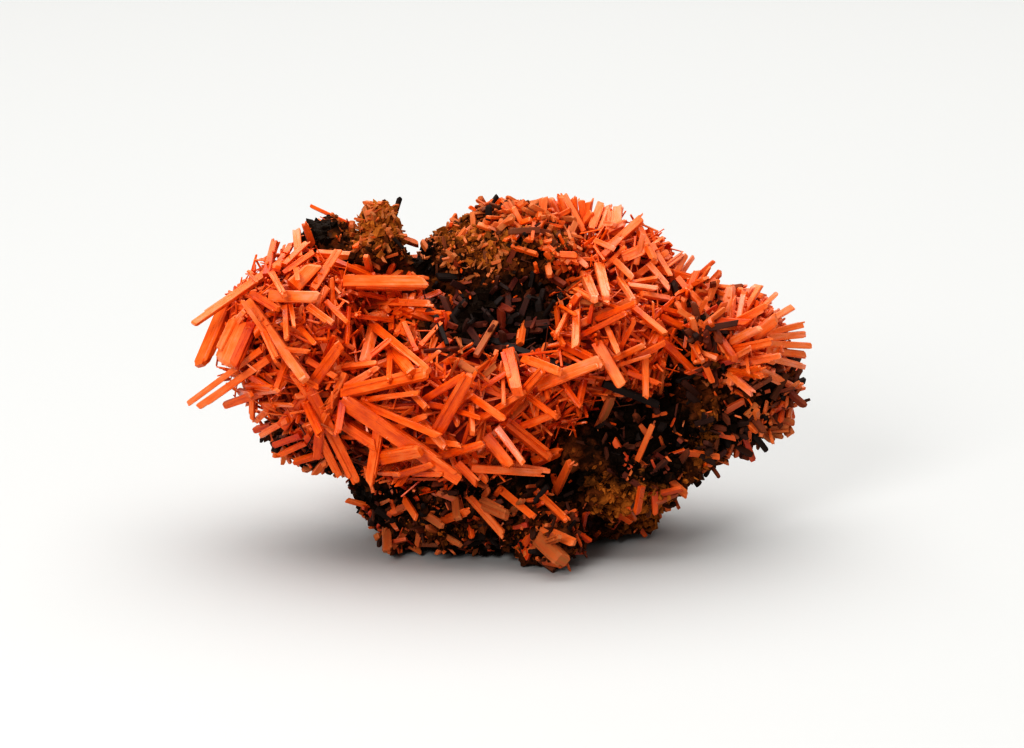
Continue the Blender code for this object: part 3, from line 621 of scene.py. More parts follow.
        scatter = rng.uniform(0, self.TEXTURE_SPREAD, (count, 2))
        edge = np.linalg.norm(np.roll(flat[:, 0], -1, axis=1) - flat[:, 0], axis=2)
        round_it = np.concatenate([np.zeros((count, 1)), np.cumsum(edge, axis=1)], axis=1)
        start, stop = round_it[:, turn], round_it[:, turn + 1]
        u = np.stack([start, stop, stop, start], axis=2)
        heights = [stations[:, None, [ring, ring, ring + 1, ring + 1]] for ring in (0, 1)]
        walls = [np.stack([u, np.broadcast_to(height, u.shape)], axis=3) for height in heights]
        cap = flat[:, 2][:, end.ravel()].reshape(count, 3, 4, 2)
        uv = np.concatenate([*walls, cap, cap[:, :, ::-1]], axis=1) + scatter[:, None, None, :]

        sides = np.stack([across[:, 2], through[:, 2], through[:, 2], -across[:, 2],
                          -across[:, 2], -through[:, 2], -through[:, 2], across[:, 2]], axis=1)
        # Painted top light: the tint of each side rises with how far that side faces up
        tint = self.tint[:, None, None] + self.PAINTED_TOP_LIGHT * np.clip(sides, *self.PAINTED_TOP_LIGHT_SLOPES)[:, None, :]
        share = (stations / length[:, None])[:, :, None]
        values = (tint, self.dust[:, None, None], share, self.black[:, None, None])
        look = np.stack([np.broadcast_to(value, (count, 3, 8)) for value in values], axis=3).reshape(-1, 4)
        faces = copies(pattern, 24, count)
        return Surface(points.reshape(-1, 3), faces, np.clip(look, 0, 1), uv.reshape(-1, 2))


class Palette(Enum):
    """Which way the tint of a growth's crystals leans: least and most."""

    ORANGE = (0.36, 0.66)
    DEEP = (0.02, 0.35)
    PINK = (0.55, 1.0)
    MIXED = (0.2, 0.8)
    BRIGHT = (0.40, 0.54)
    PALE = (0.66, 0.82)


@dataclass(frozen=True)
class Planting:
    """How a crystal that was read on the ruler is set on a growth."""

    readings: Readings
    masses: Masses
    palette: Palette
    depth: float = 0.3

    STATIONS = np.array([0.4, 0.6, 0.8, 1.0])
    FURTHEST = 6.0
    TOWARDS_EYE = 0.8
    TURN = 0.25
    FIT = 0.95
    THICKNESS = (0.55, 0.95)
    BROAD = 2.6
    BROAD_THICKNESS = 0.7
    DUST_SPREAD = (0.0, 0.12)

    def laths(self, rng: np.random.Generator) -> Laths:
        """Set the crystals, their roots under the skin and their bodies brought towards the eye to clear it.

        Args:
            rng: Seeded random numbers.

        Returns:
            The crystals.
        """
        rows = self.readings.table()
        size = len(rows)
        root = self.masses.sunk(self.masses.seen(rows[:, 0], rows[:, 1]), self.depth)
        tip = self.masses.seen(rows[:, 2], rows[:, 3])
        body = root[:, None, :] + (tip - root)[:, None, :] * self.STATIONS[None, :, None]
        missing = ((rows[:, 5:6] - self.masses.distance(body)) / self.STATIONS).max(axis=1)
        tip = tip + np.clip(missing, 0, self.FURTHEST)[:, None] * EYE.towards
        normal = self.masses.normals((root + tip) / 2)
        facing = unit(normal + self.TOWARDS_EYE * EYE.towards + rng.normal(0, self.TURN, (size, 3)))
        width = rows[:, 4] * self.FIT
        flatter = np.where(width > self.BROAD, self.BROAD_THICKNESS, 1)
        thickness = width * rng.uniform(*self.THICKNESS, size) * flatter
        tint = rng.uniform(*self.palette.value, size)
        blackened = self.readings.coat is Coat.BLACK
        dust = (0.0 if blackened else self.readings.coat.value) + rng.uniform(*self.DUST_SPREAD, size)
        return Laths(root, tip, facing, width, thickness, tint, dust, np.full(size, float(blackened)))


@dataclass(frozen=True)
class Zones:
    """Patches of the gossan on the ruler: each row holds the middle across and up, and the radii."""

    rows: tuple[tuple[float, float, float, float], ...]

    PEAK = 1.8
    FALL = 1.2

    def share(self, across: Array, up: Array) -> Array:
        """How far each reading lies in the patches.

        Args:
            across: Millimetres across on the ruler.
            up: Millimetres up on the ruler.

        Returns:
            1 in a patch, falling to 0 at about half its radius outside.
        """
        middle = np.array(self.rows)
        offset = (np.stack([across, up], axis=1)[:, None, :] - middle[None, :, :2]) / middle[None, :, 2:]
        return np.clip(self.PEAK - self.FALL * np.linalg.norm(offset, axis=2), 0, 1).max(axis=1)


BLACK_ZONES = Zones(((-1, 40, 9, 6), (32.8, 37.5, 3, 5), (44, 29, 4, 3), (39.5, 22, 5, 4), (24, 21.5, 8, 6),
                     (-4, 14.0, 7, 1.5), (-30, 17.5, 9, 3), (-30, 54, 3, 2), (-12.5, 51, 2, 4),
                     (9, 14.5, 5, 2), (-20, 11, 6, 3), (-6, 4, 7, 2)))
OCHRE_ZONES = Zones(((22, 11, 7, 4), (34, 22, 2, 4), (-20, 56, 4, 4), (12, 54, 3, 1.5), (-6.5, 54.5, 4, 2),
                     (-1, 52, 4, 1.5)))
FLAKE_ZONES = Zones(((-20.5, 55.5, 5, 5), (-4, 54, 10, 5), (22, 11, 9, 6), (34, 22, 3, 5), (8, 55, 12, 5),
                     (-5, 7, 14, 6)))


@dataclass(frozen=True)
class Thicket:
    """A rule that strews crystals over rounded masses."""

    masses: Masses
    count: int
    length: Span = (4.0, 12.0)
    width: Span = (0.5, 1.7)
    depth: Span = (0.2, 3.6)
    tilt: float = 0.45
    reach: float = 1.8
    palette: Palette = Palette.MIXED
    companions: tuple[int, int] = (0, 2)
    core: Place | None = None
    stand: float = 0.0

    TRIES = 2.2
    SHORTENING = (0.7, 1.0)
    SLENDER = 1.8
    TRIM = 0.82
    ROUNDS = 5
    SHORTEST = 1.5
    LEEWAY = 1.2
    CLEARANCE = 0.6
    BACK = 14.0
    BACK_FADE = 8.0
    THINNED_IN_BLACK = 0.35
    BLACKENED = 0.9
    SOOT = (0.5, 1.0)
    TURN = 0.5
    DUST = (0.05, 0.12)
    THICKNESS = (0.5, 1.0)

    def laths(self, rng: np.random.Generator) -> Laths:
        """Strew the crystals.

        Each one's middle lies under the skin. It points along the skin with a random tilt, or away from the
        core where the growth has one, and is shortened until neither end stands out further than the reach.

        Args:
            rng: Seeded random numbers.

        Returns:
            The crystals with their companions.
        """
        skin = self.masses.skin_samples(int(self.count * self.TRIES), rng)[:self.count]
        size = len(skin)
        normal = self.masses.normals(skin)
        if self.core is None:
            way = lying(normal, self.tilt, rng)
        else:
            way = unit(unit(skin - np.array(self.core)) + rng.normal(0, self.tilt, (size, 3)))
        length = rng.uniform(*self.length, size) * rng.uniform(*self.SHORTENING, size)
        narrow, wide = self.width
        width = narrow + (wide - narrow) * rng.random(size) ** self.SLENDER
        middle = skin - normal * rng.uniform(*self.depth, size)[:, None]
        root = middle - way * (length * (0.5 - self.stand))[:, None]
        tip = middle + way * (length * (0.5 + self.stand))[:, None]
        for _ in range(self.ROUNDS):
            over = self.masses.distance(tip) > self.reach
            tip = np.where(over[:, None], root + (tip - root) * self.TRIM, tip)
            over = self.masses.distance(root) > self.reach * 0.5
            root = np.where(over[:, None], tip + (root - tip) * self.TRIM, root)
        kept = np.linalg.norm(tip - root, axis=1) > self.SHORTEST
        kept &= self.masses.distance(tip) < self.reach * self.LEEWAY
        kept &= (tip[:, 2] > self.CLEARANCE) & (root[:, 2] > self.CLEARANCE)
        halfway = (root + tip) / 2
        in_front = np.clip((self.BACK - halfway[:, 1]) / self.BACK_FADE, 0, 1)
        in_black = BLACK_ZONES.share(*EYE.readings(halfway)) * in_front
        kept &= rng.random(size) > self.THINNED_IN_BLACK * in_black
        black = (rng.random(size) < self.BLACKENED * in_black) * rng.uniform(*self.SOOT, size)
        facing = unit(normal + rng.normal(0, self.TURN, (size, 3)))
        tint = rng.uniform(*self.palette.value, size)
        dust = np.clip(rng.normal(*self.DUST, size), 0, 1)
        thickness = width * rng.uniform(*self.THICKNESS, size)
        laths = Laths(root, tip, facing, width, thickness, tint, dust, black)
        return laths.chosen(kept).with_companions(rng, *self.companions)


@dataclass(frozen=True)
class Noise:
    """Smooth random values over space, the same each run."""

    seed: int

    AXIS_PRIMES = np.array([73856093, 19349663, 83492791])
    SEED_PRIME = 7919
    MIX_PRIMES = (1274126177, 668265263)
    LOW_BITS = 0x7FFFFFFF
    LAYER_SHIFT = 17.3
    JITTER = 0.42

    def lattice(self, cells: Array) -> Array:
        """Random values from -1 to 1 on whole-number places, by mixing their bits.

        Args:
            cells: Whole numbers, any shape ending in x, y, z.

        Returns:
            One value for each place.
        """
        mixed = cells.astype(np.int64) * self.AXIS_PRIMES
        mixed = (mixed[..., 0] ^ mixed[..., 1] ^ mixed[..., 2]) + self.seed * self.SEED_PRIME
        for prime, shift in zip(self.MIX_PRIMES, (13, 15)):
            mixed = (mixed ^ (mixed >> shift)) * prime & self.LOW_BITS
        return (mixed ^ (mixed >> 14)).astype(float) / (self.LOW_BITS // 2) - 1

    def at(self, points: Array) -> Array:
        """Value noise: eight lattice values blended by the smooth weight 3t^2 - 2t^3 along each axis.

        Args:
            points: Places, in cells.

        Returns:
            Values from -1 to 1.
        """
        low = np.floor(points)
        part = points - low
        part = part * part * (3 - 2 * part)
        total = np.zeros(len(points))
        for corner in np.ndindex(2, 2, 2):
            weight = np.prod(np.where(np.array(corner) == 1, part, 1 - part), axis=1)
            total += weight * self.lattice(low + np.array(corner))
        return total

    def layered(self, points: Array, size: float, layers: int) -> Array:
        """Several sizes of value noise, each with cells half as large and half as strong as the last."""
        return sum(self.at(points / size * 2 ** layer + self.LAYER_SHIFT * layer) * 0.5 ** layer
                   for layer in range(layers))

    def knobs(self, points: Array, size: float) -> Array:
        """Rounded knobs: one minus the squared distance to the nearest random point, one in each cell.

        Args:
            points: Places in millimetres.
            size: Millimetres across a cell.

        Returns:
            Values up to 1 at the middle of a knob.
        """
        scaled = points / size
        low = np.floor(scaled)
        nearest = np.full(len(points), np.inf)
        for step in np.ndindex(3, 3, 3):
            cell = low + np.array(step) - 1
            jitter = np.stack([self.lattice(cell + shift) for shift in (0, 101, 211)], axis=1)
            nearest = np.minimum(nearest, ((cell + 0.5 + self.JITTER * jitter - scaled) ** 2).sum(axis=1))
        return 1 - nearest


@dataclass(frozen=True)
class Weathering:
    """Where the gossan is black and where it is ochre."""

    wander_size: float = 5.0
    wander: float = 2.0
    back: float = 6.0
    back_fade: float = 8.0
    patch_size: float = 9.0
    patch_contrast: float = 1.6
    black_behind: float = 0.8
    ochre_behind: float = 0.5
    grain_size: float = 0.8

    def look(self, points: Array) -> Array:
        """What the gossan's finish reads: blackness, ochre, a random value, and one.

        The patches of the side that the eye sees fade, towards the back, into patches that noise lays out.

        Args:
            points: Places in millimetres.

        Returns:
            Four values for each point.
        """
        first, second = (Noise(seed).layered(points, self.wander_size, 3) * self.wander for seed in (3, 4))
        across, up = EYE.readings(points)
        behind = np.clip((points[:, 1] - self.back) / self.back_fade, 0, 1)
        patchy = np.clip(0.5 + self.patch_contrast * Noise(11).layered(points, self.patch_size, 3), 0, 1)
        black = BLACK_ZONES.share(across + first, up + second)
        ochre = OCHRE_ZONES.share(across - second, up + first)
        black = black * (1 - behind) + behind * patchy * self.black_behind
        ochre = ochre * (1 - behind) + behind * (1 - patchy) * self.ochre_behind
        chance = 0.5 + 0.5 * Noise(5).at(points / self.grain_size)
        return np.stack([black, ochre, chance, np.ones(len(points))], axis=1)


@dataclass(frozen=True)
class Profile:
    """How far the gossan reaches on the ruler: pairs of a reading and the limit there."""

    skyline: tuple[tuple[float, float], ...] = (
        (-30, 70), (-17.4, 60), (-16.6, 52.5), (-15.2, 49.4), (-12.6, 49.4), (-11.6, 52.6), (-9.5, 54.0),
        (-6.6, 55.6), (-3.4, 57.2), (0, 58.0), (5, 58.6), (9, 60), (12, 70))
    underside: tuple[tuple[float, float], ...] = (
        (9, -3), (10.7, 1.6), (13, 3.6), (16.7, 5.2), (20.3, 6.6), (24.3, 7.0), (25.9, 8.6), (27.2, 10.5),
        (30.4, 13.4), (36.8, 17.2), (41.6, 20.4))
    left: tuple[tuple[float, float], ...] = (
        (-5, -18.0), (2.9, -18.0), (6.4, -18.3), (8.0, -20.7), (10.5, -22.3), (13.7, -23.9), (15.0, -40),
        (70, -60))

    def press(self, points: Array) -> Array:
        """Press points back that reach past the profile, along the ruler.

        Args:
            points: Places in millimetres.

        Returns:
            The places, each inside the profile.
        """
        across, up = EYE.readings(points)
        over = np.maximum(up - np.interp(across, *np.transpose(self.skyline)), 0)
        under = np.maximum(np.interp(across, *np.transpose(self.underside)) - up, 0)
        under = under * (across > self.underside[0][0])
        points = points + (under - over)[:, None] * EYE.upward
        aside = np.maximum(np.interp(up, *np.transpose(self.left)) - across, 0)
        return points + aside[:, None] * RIGHT


@dataclass
class Rock:
    """The gossan itself: the matrix solid's skin cut fine and roughened."""

    cell: float = 0.5
    swell: float = 1.1
    swell_size: float = 4.5
    knob: float = 0.8
    knob_size: float = 2.4
    knob_middle: float = 0.6
    fine: float = 0.4
    fine_size: float = 1.1
    fine_middle: float = 0.7
    crag: float = 1.1
    crag_size: float = 2.2
    crag_contrast: float = 2.2
    crag_middle: float = 0.7
    base: float = 0.15
    base_fade: float = 1.2

    def recut(self, node: bpy.types.Object) -> tuple[Array, Array, Array]:
        """Recut a copy of the solid on a fine grid.

        Args:
            node: The matrix solid.

        Returns:
            Points in millimetres, their normals, and the faces.
        """
        copy = node.copy()
        copy.data = node.data.copy()
        copy.parent = None
        bpy.context.scene.collection.objects.link(copy)
        copy.modifiers.new("weld", "WELD").merge_threshold = 1e-6
        grid = copy.modifiers.new("grid", "REMESH")
        grid.mode = "VOXEL"
        grid.voxel_size = self.cell * MM
        read = copy.evaluated_get(bpy.context.evaluated_depsgraph_get())
        mesh = read.to_mesh()
        points, normals = np.empty((2, len(mesh.vertices) * 3))
        mesh.vertices.foreach_get("co", points)
        mesh.vertices.foreach_get("normal", normals)
        corners = np.empty(len(mesh.loops), dtype=np.int32)
        mesh.loops.foreach_get("vertex_index", corners)
        read.to_mesh_clear()
        bpy.data.objects.remove(copy)
        return points.reshape(-1, 3) / MM + MIDDLE, normals.reshape(-1, 3), corners.reshape(-1, 4)

    def build(self, node: bpy.types.Object) -> Surface:
        """Move the recut solid's points along their normals.

        The rise is layered noise, plus knobs where the gossan is black, plus fine grit, plus crags where it
        is crumbly. It fades out at the flat base, and stays inside the profile.

        Args:
            node: The matrix solid.

        Returns:
            The roughened surface.
        """
        points, normals, faces = self.recut(node)
        look = Weathering().look(points)
        crumbly = FLAKE_ZONES.share(*EYE.readings(points))
        rise = self.swell * Noise(21).layered(points, self.swell_size, 4)
        rise += self.knob * look[:, 0] * (Noise(22).knobs(points, self.knob_size) - self.knob_middle)
        rise += self.fine * (Noise(23).knobs(points, self.fine_size) - self.fine_middle)
        crags = np.abs(Noise(24).layered(points, self.crag_size, 3)) * self.crag_contrast
        rise += self.crag * crumbly * (crags - self.crag_middle)
        grounded = np.clip((points[:, 2] - self.base) / self.base_fade, 0, 1)
        points = Profile().press(points + normals * (rise * grounded)[:, None])
        points[:, 2] = np.maximum(points[:, 2], 0)
        return Surface(points, faces, look)


def on_surface(surface: Surface, count: int, rng: np.random.Generator, zones: Zones | None = None,
               behind: float = 0.0) -> tuple[Array, Array, Array]:
    """Random places on a surface, spread evenly or over zones.

    Args:
        surface: A surface of quads.
        count: How many places.
        rng: Seeded random numbers.
        zones: Where they lie on the side that the eye sees; everywhere if left out.
        behind: How thickly they lie on the other sides, where 1 is as thickly as in the zones.

    Returns:
        Places, outward normals and the looks there.
    """
    corners = surface.points[surface.faces]
    normal = np.cross(corners[:, 2] - corners[:, 0], corners[:, 3] - corners[:, 1])
    weight = np.linalg.norm(normal, axis=1)
    normal = unit(normal)
    if zones:
        seen = np.clip(normal @ EYE.towards * 3 + 1, 0, 1)
        weight = weight * (zones.share(*EYE.readings(corners.mean(axis=1))) * seen + behind * (1 - seen))
    face = rng.choice(len(weight), size=count, p=weight / weight.sum())
    share = rng.dirichlet(np.ones(4), size=count)
    places = (corners[face] * share[:, :, None]).sum(axis=1)
    return places, normal[face], surface.look[surface.faces[face, 0]]


def random_turns(count: int, rng: np.random.Generator) -> Array:
    """Random rotations from random unit quaternions.

    Args:
        count: How many.
        rng: Seeded random numbers.

    Returns:
        Rotation matrices.
    """
    w, x, y, z = unit(rng.normal(size=(count, 4))).T
    turns = [1 - 2 * (y * y + z * z), 2 * (x * y - z * w), 2 * (x * z + y * w),
             2 * (x * y + z * w), 1 - 2 * (x * x + z * z), 2 * (y * z - x * w),
             2 * (x * z - y * w), 2 * (y * z + x * w), 1 - 2 * (x * x + y * y)]
    return np.stack(turns, axis=1).reshape(-1, 3, 3)


def rounded_cube(cuts: int) -> tuple[Array, Array]:
    """A cube whose faces are cut into squares and whose points are pushed out onto a sphere of radius one.

    Each face is a grid of squares, and points that faces share are merged. A grid place from -1 to 1
    becomes the tangent of its share of 45 degrees before it is pushed out, which keeps the squares even.

    Args:
        cuts: Squares along each edge.

    Returns:
        Points, and faces that look outward.
    """
    row, column = np.indices((cuts, cuts))
    ring = ((row, column), (row + 1, column), (row + 1, column + 1), (row, column + 1))
    sides = []
    for axis in range(3):
        for side in (0, cuts):
            place = np.full((cuts, cuts, 4, 3), side)
            for corner, (first, second) in enumerate(ring if side else ring[::-1]):
                place[:, :, corner, (axis + 1) % 3] = first
                place[:, :, corner, (axis + 2) % 3] = second
            sides.append(place)
    grid, faces = np.unique(np.concatenate(sides).reshape(-1, 3), axis=0, return_inverse=True)
    return unit(np.tan((grid / cuts * 2 - 1) * math.pi / 4)), faces.reshape(-1, 4)


@dataclass(frozen=True)
class Grains:
    """Small bodies strewn over a surface."""

    count: int
    least: float
    most: float
    sunk: float = 0.25
    flat: float = 1.0
    mottle: float = 0.2
    zones: Zones | None = None

    CUBE = np.array([(x, y, z) for x in (-1, 1) for y in (-1, 1) for z in (-1, 1)], dtype=float)
    CUBE_FACES = np.array([(0, 1, 3, 2), (4, 6, 7, 5), (0, 4, 5, 1),
                           (2, 3, 7, 6), (0, 2, 6, 4), (1, 5, 7, 3)])
    BROKEN = 0.6
    RAISED = 0.3
    CUBE_SIZE = 0.62
    CUBE_SHAPE = (0.5, 1.15)
    SCATTERED = 0.25
    KNOB_SHAPE = (0.8, 1.1)
    KNOB_SUNK = 0.1
    KNOB_GROUND = 0.45
    KNOB_CLEARANCE = 1.5
    KNOB_BLACK = (0.8, 1.0)

    def sizes(self, count: int, rng: np.random.Generator) -> Array:
        """Radii in millimetres, with many more small ones than large."""
        return self.least * (self.most / self.least) ** (rng.random(count) ** 2.2)

    def crumbs(self, ground: Surface, rng: np.random.Generator) -> Surface:
        """Broken blocks: cubes with every corner moved at random, turned at random.

        Args:
            ground: What they lie on.
            rng: Seeded random numbers.

        Returns:
            The joined blocks.
        """
        places, normal, look = on_surface(ground, self.count, rng, self.zones, self.SCATTERED)
        kept = places[:, 2] > self.most
        places, normal, look = places[kept], normal[kept], look[kept]
        count = len(places)
        size = self.sizes(count, rng)
        corners = (self.CUBE[None] + rng.uniform(-self.BROKEN, self.BROKEN, (count, 8, 3))) * self.CUBE_SIZE
        corners = corners * rng.uniform(*self.CUBE_SHAPE, (count, 1, 3)) * np.array([1.0, 1.0, self.flat])
        corners = np.einsum("nij,nkj->nki", random_turns(count, rng), corners) * size[:, None, None]
        raised = normal[:, None] * (size * (self.RAISED - self.sunk))[:, None, None]
        points = places[:, None] + raised + corners
        look[:, 1] = np.clip(look[:, 1] + self.mottle * rng.normal(size=count), 0, 1)
        look[:, 2] = rng.random(count)
        return Surface(points.reshape(-1, 3), copies(self.CUBE_FACES, 8, count), np.repeat(look, 8, axis=0))

    def nodules(self, ground: Surface, rng: np.random.Generator) -> Surface:
        """Round black knobs where the ground is black, as rounded cubes.

        Args:
            ground: What they sit on.
            rng: Seeded random numbers.

        Returns:
            The joined knobs.
        """
        ball, squares = rounded_cube(2)
        places, normal, look = on_surface(ground, self.count, rng)
        kept = (look[:, 0] > self.KNOB_GROUND) & (places[:, 2] > self.KNOB_CLEARANCE)
        places, normal, look = places[kept], normal[kept], look[kept]
        count = len(places)
        size = self.sizes(count, rng)
        shape = np.einsum("nij,kj->nki", random_turns(count, rng), ball)
        shape = shape * rng.uniform(*self.KNOB_SHAPE, (count, 1, 3))
        sunk = normal[:, None] * (-self.KNOB_SUNK * size)[:, None, None]
        points = places[:, None] + sunk + shape * size[:, None, None]
        look[:, 0] = rng.uniform(*self.KNOB_BLACK, count)
        look[:, 1] = 0
        look = np.repeat(look, len(ball), axis=0)
        return Surface(points.reshape(-1, 3), copies(squares, len(ball), count), look, smooth=True)


@dataclass(frozen=True)
class Cores:
    """Lumpy cores for crystals too deep to tell apart; their deep red and soot are painted shade."""

    insides: tuple[tuple[Masses, float], ...]

    CUTS = 16
    LEAST_RADIUS = 1.0
    LUMP = 0.9
    LUMP_SIZE = 3.0
    LOWEST = 1.5
    # Painted shade of the depths: a low tint for deep red and a 0.3 share of soot
    DEPTH_SHADE_LOOK = (0.1, 0.0, 0.5, 0.3)

    def surface(self) -> Surface:
        """A ball stretched to each of the masses, an inset smaller, with noise for lumps.

        Returns:
            The joined cores.
        """
        ball, squares = rounded_cube(self.CUTS)
        shells = []
        for masses, inset in self.insides:
            for centre, radii in zip(masses.centres, masses.radii):
                points = centre + ball * np.maximum(radii - inset, self.LEAST_RADIUS)
                points = points + ball * (self.LUMP * Noise(31).layered(points, self.LUMP_SIZE, 3))[:, None]
                points[:, 2] = np.maximum(points[:, 2], self.LOWEST)
                shells.append(points)
        points = np.concatenate(shells)
        faces = copies(squares, len(ball), len(shells))
        look = np.tile(self.DEPTH_SHADE_LOOK, (len(points), 1))
        return Surface(points, faces, look, points[faces].reshape(-1, 3)[:, :2])


@dataclass(frozen=True)
class Litter:
    """Small crystals and broken bits strewn over the gossan of some zones, and as thinly behind."""

    count: int
    zones: Zones
    length: Span
    palette: Palette
    lift: float
    dust: Span
    black: float = 0.0
    behind: float = 0.03

    CLEARANCE = 1.2
    STEEPEST = 1.1
    SLENDER = 1.7
    WIDTH_SHARE = (0.14, 0.4)
    WIDTH_LIMITS = (0.25, 1.1)
    BURIED = 0.3
    RAISED = 0.2
    LOWEST = 0.5
    SOOT = (0.6, 1.0)
    TURN = 0.4
    THICKNESS = (0.5, 1)

    def laths(self, ground: Surface, rng: np.random.Generator) -> Laths:
        """Strew the bits.

        Args:
            ground: The gossan's surface.
            rng: Seeded random numbers.

        Returns:
            The bits.
        """
        places = on_surface(ground, self.count, rng, self.zones, self.behind)[0]
        places = places[places[:, 2] > self.CLEARANCE]
        normal = GOSSAN.normals(places)
        size = len(places)
        way = lying(normal, self.lift, rng, self.STEEPEST)
        short, long = self.length
        length = short + (long - short) * rng.random(size) ** self.SLENDER
        width = np.clip(length * rng.uniform(*self.WIDTH_SHARE, size), *self.WIDTH_LIMITS)
        root = places - way * (self.BURIED * length)[:, None]
        tip = places + way * ((1 - self.BURIED) * length)[:, None] + normal * (self.RAISED * width)[:, None]
        tip[:, 2] = np.maximum(tip[:, 2], self.LOWEST)
        black = (rng.random(size) < self.black) * rng.uniform(*self.SOOT, size)
        facing = unit(normal + rng.normal(0, self.TURN, (size, 3)))
        thickness = width * rng.uniform(*self.THICKNESS, size)
        tint = rng.uniform(*self.palette.value, size)
        return Laths(root, tip, facing, width, thickness, tint, rng.uniform(*self.dust, size), black)


@dataclass
class Graph:
    """A node tree, filled one node at a time."""

    tree: bpy.types.NodeTree

    def feed(self, node: bpy.types.Node, inputs: dict[str | int, Link]) -> bpy.types.Node:
        """Give a node's input sockets their values or links.

        Args:
            node: The node.
            inputs: Input sockets, by name or number, with a value or the socket that feeds them.

        Returns:
            The node.
        """
        for socket, value in inputs.items():
            if isinstance(value, bpy.types.NodeSocket):
                self.tree.links.new(value, node.inputs[socket])
            else:
                node.inputs[socket].default_value = value
        return node

    def add(self, kind: str, inputs: dict[str | int, Link], **settings: object) -> bpy.types.Node:
        """Add a node.

        Args:
            kind: The node's type.
            inputs: Input sockets, by name or number, with a value or the socket that feeds them.
            **settings: The node's own properties.

        Returns:
            The node.
        """
        node = self.tree.nodes.new(kind)
        for name, value in settings.items():
            setattr(node, name, value)
        return self.feed(node, inputs)

    def mix(self, share: Link, first: Link, second: Link) -> bpy.types.NodeSocket:
        """Blend two colours, all of the first at a share of 0, on the colour sockets of a Mix node."""
        return self.add("ShaderNodeMix", {0: share, 6: first, 7: second}, data_type="RGBA").outputs[2]

    def sum(self, first: Link, second: Link, operation: str = "ADD") -> bpy.types.NodeSocket:
        """Add two values, or reckon with them in another way."""
        return self.add("ShaderNodeMath", {0: first, 1: second}, operation=operation).outputs[0]

    def ramp(self, value: bpy.types.NodeSocket, low: float, high: float,
             least: float = 0.0, most: float = 1.0) -> bpy.types.NodeSocket:
        """Stretch a value from one range to another, held at its ends.

        Args:
            value: The value.
            low: Where the first range starts.
            high: Where it ends.
            least: What the start becomes.
            most: What the end becomes.

        Returns:
            The stretched value.
        """
        return self.add("ShaderNodeMapRange", {0: value, 1: low, 2: high, 3: least, 4: most}).outputs[0]

    def noise(self, place: Link, scale: float, detail: float, roughness: float,
              stretch: Place | None = None) -> bpy.types.NodeSocket:
        """Noise over space or over a texture's lengths.

        Args:
            place: The coordinates.
            scale: Cells in one unit.
            detail: How many finer layers.
            roughness: How strong they are.
            stretch: Factors on the coordinates, for streaks.

        Returns:
            The noise's value.
        """
        if stretch:
            place = self.add("ShaderNodeMapping", {"Vector": place, "Scale": stretch}).outputs[0]
        grain = {"Vector": place, "Scale": scale, "Detail": detail, "Roughness": roughness}
        return self.add("ShaderNodeTexNoise", grain).outputs[0]

    def bump(self, height: Link, strength: float, distance: float) -> bpy.types.NodeSocket:
        """A normal bumped by a height, over a distance in metres."""
        inputs = {"Strength": strength, "Distance": distance, "Height": height}
        return self.add("ShaderNodeBump", inputs).outputs[0]


@dataclass(frozen=True)
class SharedGroup:
    """A node group's name, the coordinates that it reads and what it puts out."""

    name: str
    given: str
    made: tuple[str, ...]

    def start(self) -> tuple[Graph, bpy.types.NodeSocket, bpy.types.Node]:
        """Make the group with its sockets: values, and a vector where an output is a normal.

        Returns:
            The graph, the coordinates and the node that takes the outputs.
        """
        tree = bpy.data.node_groups.new(self.name, "ShaderNodeTree")
        tree.interface.new_socket(self.given, in_out="INPUT", socket_type="NodeSocketVector")
        for label in self.made:
            kind = "NodeSocketVector" if label == "Normal" else "NodeSocketFloat"
            tree.interface.new_socket(label, in_out="OUTPUT", socket_type=kind)
        graph = Graph(tree)
        return graph, graph.add("NodeGroupInput", {}).outputs[0], graph.add("NodeGroupOutput", {})


def growth_lines() -> bpy.types.NodeTree:
    """Fine lines along a crystal from its texture lengths, with the pits and specks between them.

    Returns:
        The group: line and speck masks, a bumped normal and cloudy patches.
    """
    graph, place, made = SharedGroup("growth_lines", "UV", ("Lines", "Specks", "Normal", "Clouds")).start()
    ridges = graph.noise(place, 1.0, 3.0, 0.6, (1.9, 0.06, 1.0))
    hairs = graph.noise(place, 1.0, 2.0, 0.6, (9.0, 0.22, 1.0))
    spots = graph.noise(place, 1.6, 5.0, 0.7, (3.2, 1.6, 1.0))
    clouds = graph.noise(place, 1.0, 3.0, 0.6, (0.9, 0.35, 1.0))
    lines = graph.sum(graph.ramp(ridges, 0.36, 0.64), graph.ramp(hairs, 0.3, 0.7, -0.2, 0.2))
    specks = graph.ramp(spots, 0.61, 0.69)
    height = graph.sum(graph.sum(lines, 0.7, "MULTIPLY"), graph.sum(specks, -0.8, "MULTIPLY"))
    normal = graph.bump(height, 0.13, 0.0001)
    graph.feed(made, {"Lines": lines, "Specks": specks, "Normal": normal, "Clouds": clouds})
    return graph.tree


def earth_grain() -> bpy.types.NodeTree:
    """Crumbly grain through space.

    Returns:
        The group: a coarse value and a bumped normal.
    """
    graph, place, made = SharedGroup("earth_grain", "Place", ("Coarse", "Normal")).start()
    coarse = graph.noise(place, 420.0, 5.0, 0.62)
    fine = graph.noise(place, 2600.0, 4.0, 0.6)
    normal = graph.bump(graph.sum(coarse, graph.sum(fine, 0.5, "MULTIPLY")), 0.8, 0.0005)
    graph.feed(made, {"Coarse": coarse, "Normal": normal})
    return graph.tree


